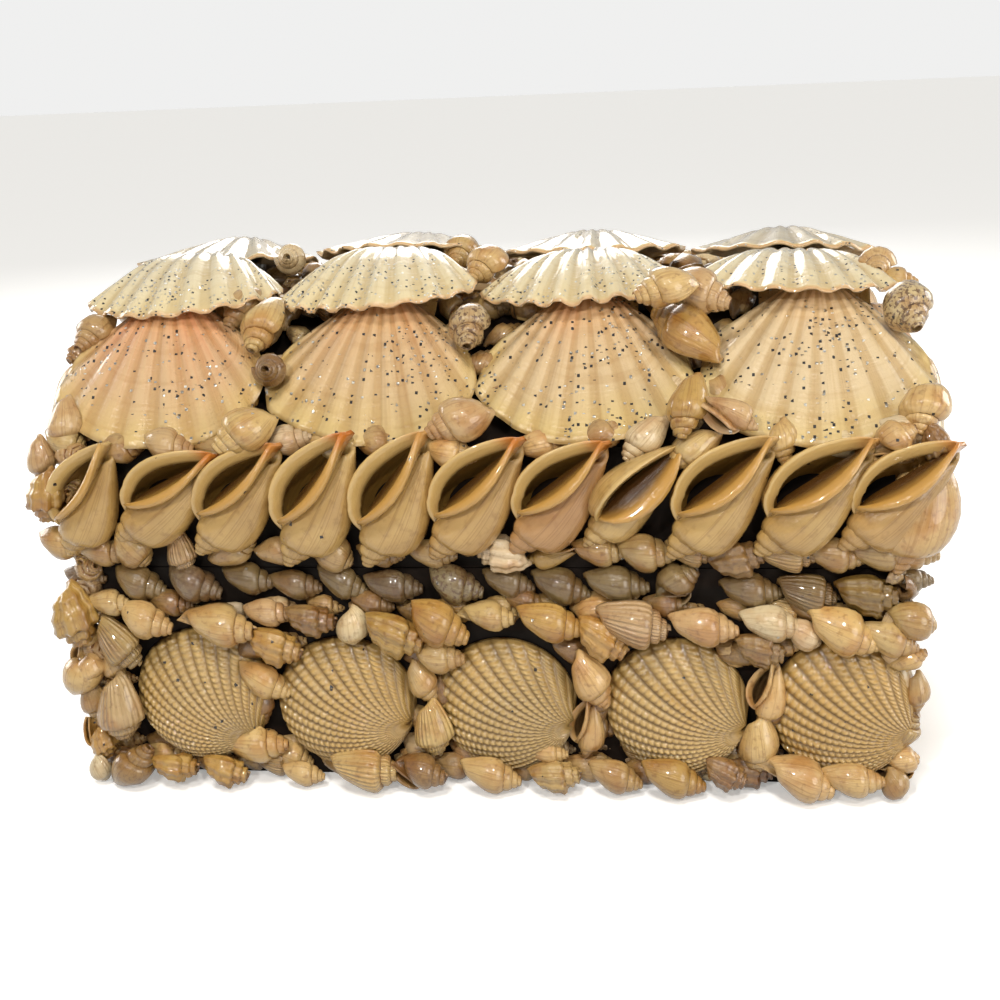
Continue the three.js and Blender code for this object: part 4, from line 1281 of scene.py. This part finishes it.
def slopeFillers(side, seed):
    # on the front and back slopes, the triangles widen towards the top
    chance = np.random.default_rng(seed)
    made = []
    for joint in joints:
        for up in slopeFill["ups"]:
            room = 4 + 26 * max(0, up - 0.25)
            for place in alongJoint(joint, room, chance):
                patch = filler(chance, fillers["length"], slopeFill["layBack"], chance.uniform(0, 360))
                out = wallOut[side] - lidShape["frontRun"] * up + slopeFill["off"]
                if abs(place) < slopeFill["within"]:
                    height = lidShape["shoulder"] + lidShape["rise"] * up + slopeFill["lift"]
                    made.append(toSide(atPlace(patch, (place, -out, height)), side))
    return made


def topFillers(seed):
    # on the flat top, between the valves of both rows
    chance = np.random.default_rng(seed)
    made = []
    flatTop = lidShape["shoulder"] + lidShape["rise"] + topFill["lift"]
    for joint in joints:
        for y, room in topFill["rows"]:
            for place in alongJoint(joint, room, chance):
                patch = filler(chance, fillers["length"], topFill["layBack"], chance.uniform(0, 360))
                if abs(place) < topFill["within"]:
                    made.append(atPlace(patch, (place, y + chance.uniform(-1, 1), flatTop)))
    return made


def endFillers(side, seed):
    # rows up the lid's ends, each shorter than the one below it
    chance = np.random.default_rng(seed)
    made = []
    for up in endFill["ups"]:
        half = wallHalf[side] - lidShape["frontRun"] * up - endFill["inset"]
        for along in np.linspace(-half, half, round(2 * half / endFill["pitch"]) + 1):
            patch = filler(chance, endFill["length"], endFill["layBack"], chance.uniform(60, 130))
            out = wallOut[side] - lidShape["endRun"] * up + endFill["off"]
            height = lidShape["shoulder"] + lidShape["rise"] * up
            made.append(toSide(atPlace(patch, (along, -out, height)), side))
    return made


def cornerColumns(seed):
    # a column up each upright corner, facing outwards between its two sides
    chance = np.random.default_rng(seed)
    made = []
    for right in (-1, 1):
        for back in (-1, 1):
            facing = turnMatrix(spin=math.degrees(math.atan2(right, -back)))
            reach = np.array([halfWidth, halfDepth]) + columnFill["off"]
            corner = boxMiddle[:2] + np.array([right, back]) * reach
            for height in np.arange(columnFill["low"], columnFill["high"], fillers["pitch"]):
                patch = moved(filler(chance, columnFill["length"], 0, chance.uniform(60, 120)), facing)
                made.append(atPlace(patch, (*corner, height + chance.uniform(-1, 1))))
    return made


# rows round the lid's rim, as height, spacing and length
rimRows = {
    "back": [(79, 16, 17), (90, 16, 18), (101, 17, 18), (111, 17, 15)],
    "end": [(76, 13, 15), (88, 13, 15), (100, 13, 15), (112, 13, 14)],
}
# rows low on the front wall, as height and the room kept clear at each cockle
frontWallRows = [(5, 0), (11, 0), (20, 21), (33, 21), (46, 17), (58, 0)]
cockleRoom = 19


def makeSmallShells():
    groups = {
        # the top row's tints are darkened: painted shadow under the lid's overhang
        "base_top_row_shells": handPlaced(baseTopRow, 1, -2.0, 0.48),
        "base_second_row_shells": handPlaced(baseSecondRow, 2, 2.0),
        "base_gap_shells": handPlaced(baseGaps, 3, 2.0),
        "base_bottom_shells": handPlaced(baseBottom, 4, 7.0),
        "base_underlayer_shells": handPlaced(baseUnderlayer, 5, -0.5),
        "under_conch_shells": handPlaced(underConchs, 6),
    }
    chance = np.random.default_rng(8)
    groups["lid_filler_shells"] = [
        atPlace(smallShell(kind, length, lean, roll, tint, chance, slope, 1.0, glitter), (x, y, z))
        for kind, x, y, z, length, lean, slope, roll, tint, glitter in lidShells
    ]
    for number, side in enumerate(("right", "back", "left")):
        seed = 20 * (number + 1)
        nodes = [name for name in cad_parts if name.startswith(f"{side}_cockle")]
        turnBack = np.array(turnMatrix(spin=-sideTurns[side]))
        spots = []
        for node in nodes:
            low, high = (np.array(corner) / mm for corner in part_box(node))
            spots.append((turnBack @ ((low + high) / 2 - boxMiddle))[0])
        between = [(spot, cockleRoom) for spot in spots]
        groups[f"{side}_base_shells"] = (
            plainRow(side, 67, 14.5, 17, seed + 1)
            + plainRow(side, 55.5, 15.5, 19, seed + 2, 1.0)
            + plainRow(side, 38, 6, 15, seed + 3, 1.0, 0.0, 170, gaps=between)
            + plainRow(side, 22, 6, 15, seed + 4, 1.0, 0.0, 170, gaps=between)
            + plainRow(side, 6, 13, 17, seed + 5, 0.5)
        )
        rows = rimRows["back" if side == "back" else "end"]
        groups[f"{side}_lid_shells"] = [
            patch
            for step, (height, pitch, length) in enumerate(rows)
            for patch in plainRow(side, height, pitch, length, seed + 8 + step, 0.5)
        ]
    for seed, side in enumerate(("front", "back"), 101):
        groups[f"{side}_slope_fillers"] = slopeFillers(side, seed)
    groups["lid_top_fillers"] = topFillers(103)
    for seed, side in enumerate(("right", "left"), 104):
        groups[f"{side}_end_fillers"] = endFillers(side, seed)
    groups["corner_fillers"] = cornerColumns(106)
    groups["front_wall_fillers"] = [
        patch
        for step, (height, room) in enumerate(frontWallRows)
        for patch in plainRow("front", height, 14.5, 13, 110 + step, -2.5,
                              gaps=[(spot, room) for spot in cockleSpots])
    ]
    total = 0
    for name, patches in groups.items():
        total += makePiece(name, patches, finishes["small"], "conch")
    return total


triangleCount["small shells"] = makeSmallShells()
print("small shells made", triangleCount, "in all", sum(triangleCount.values()))
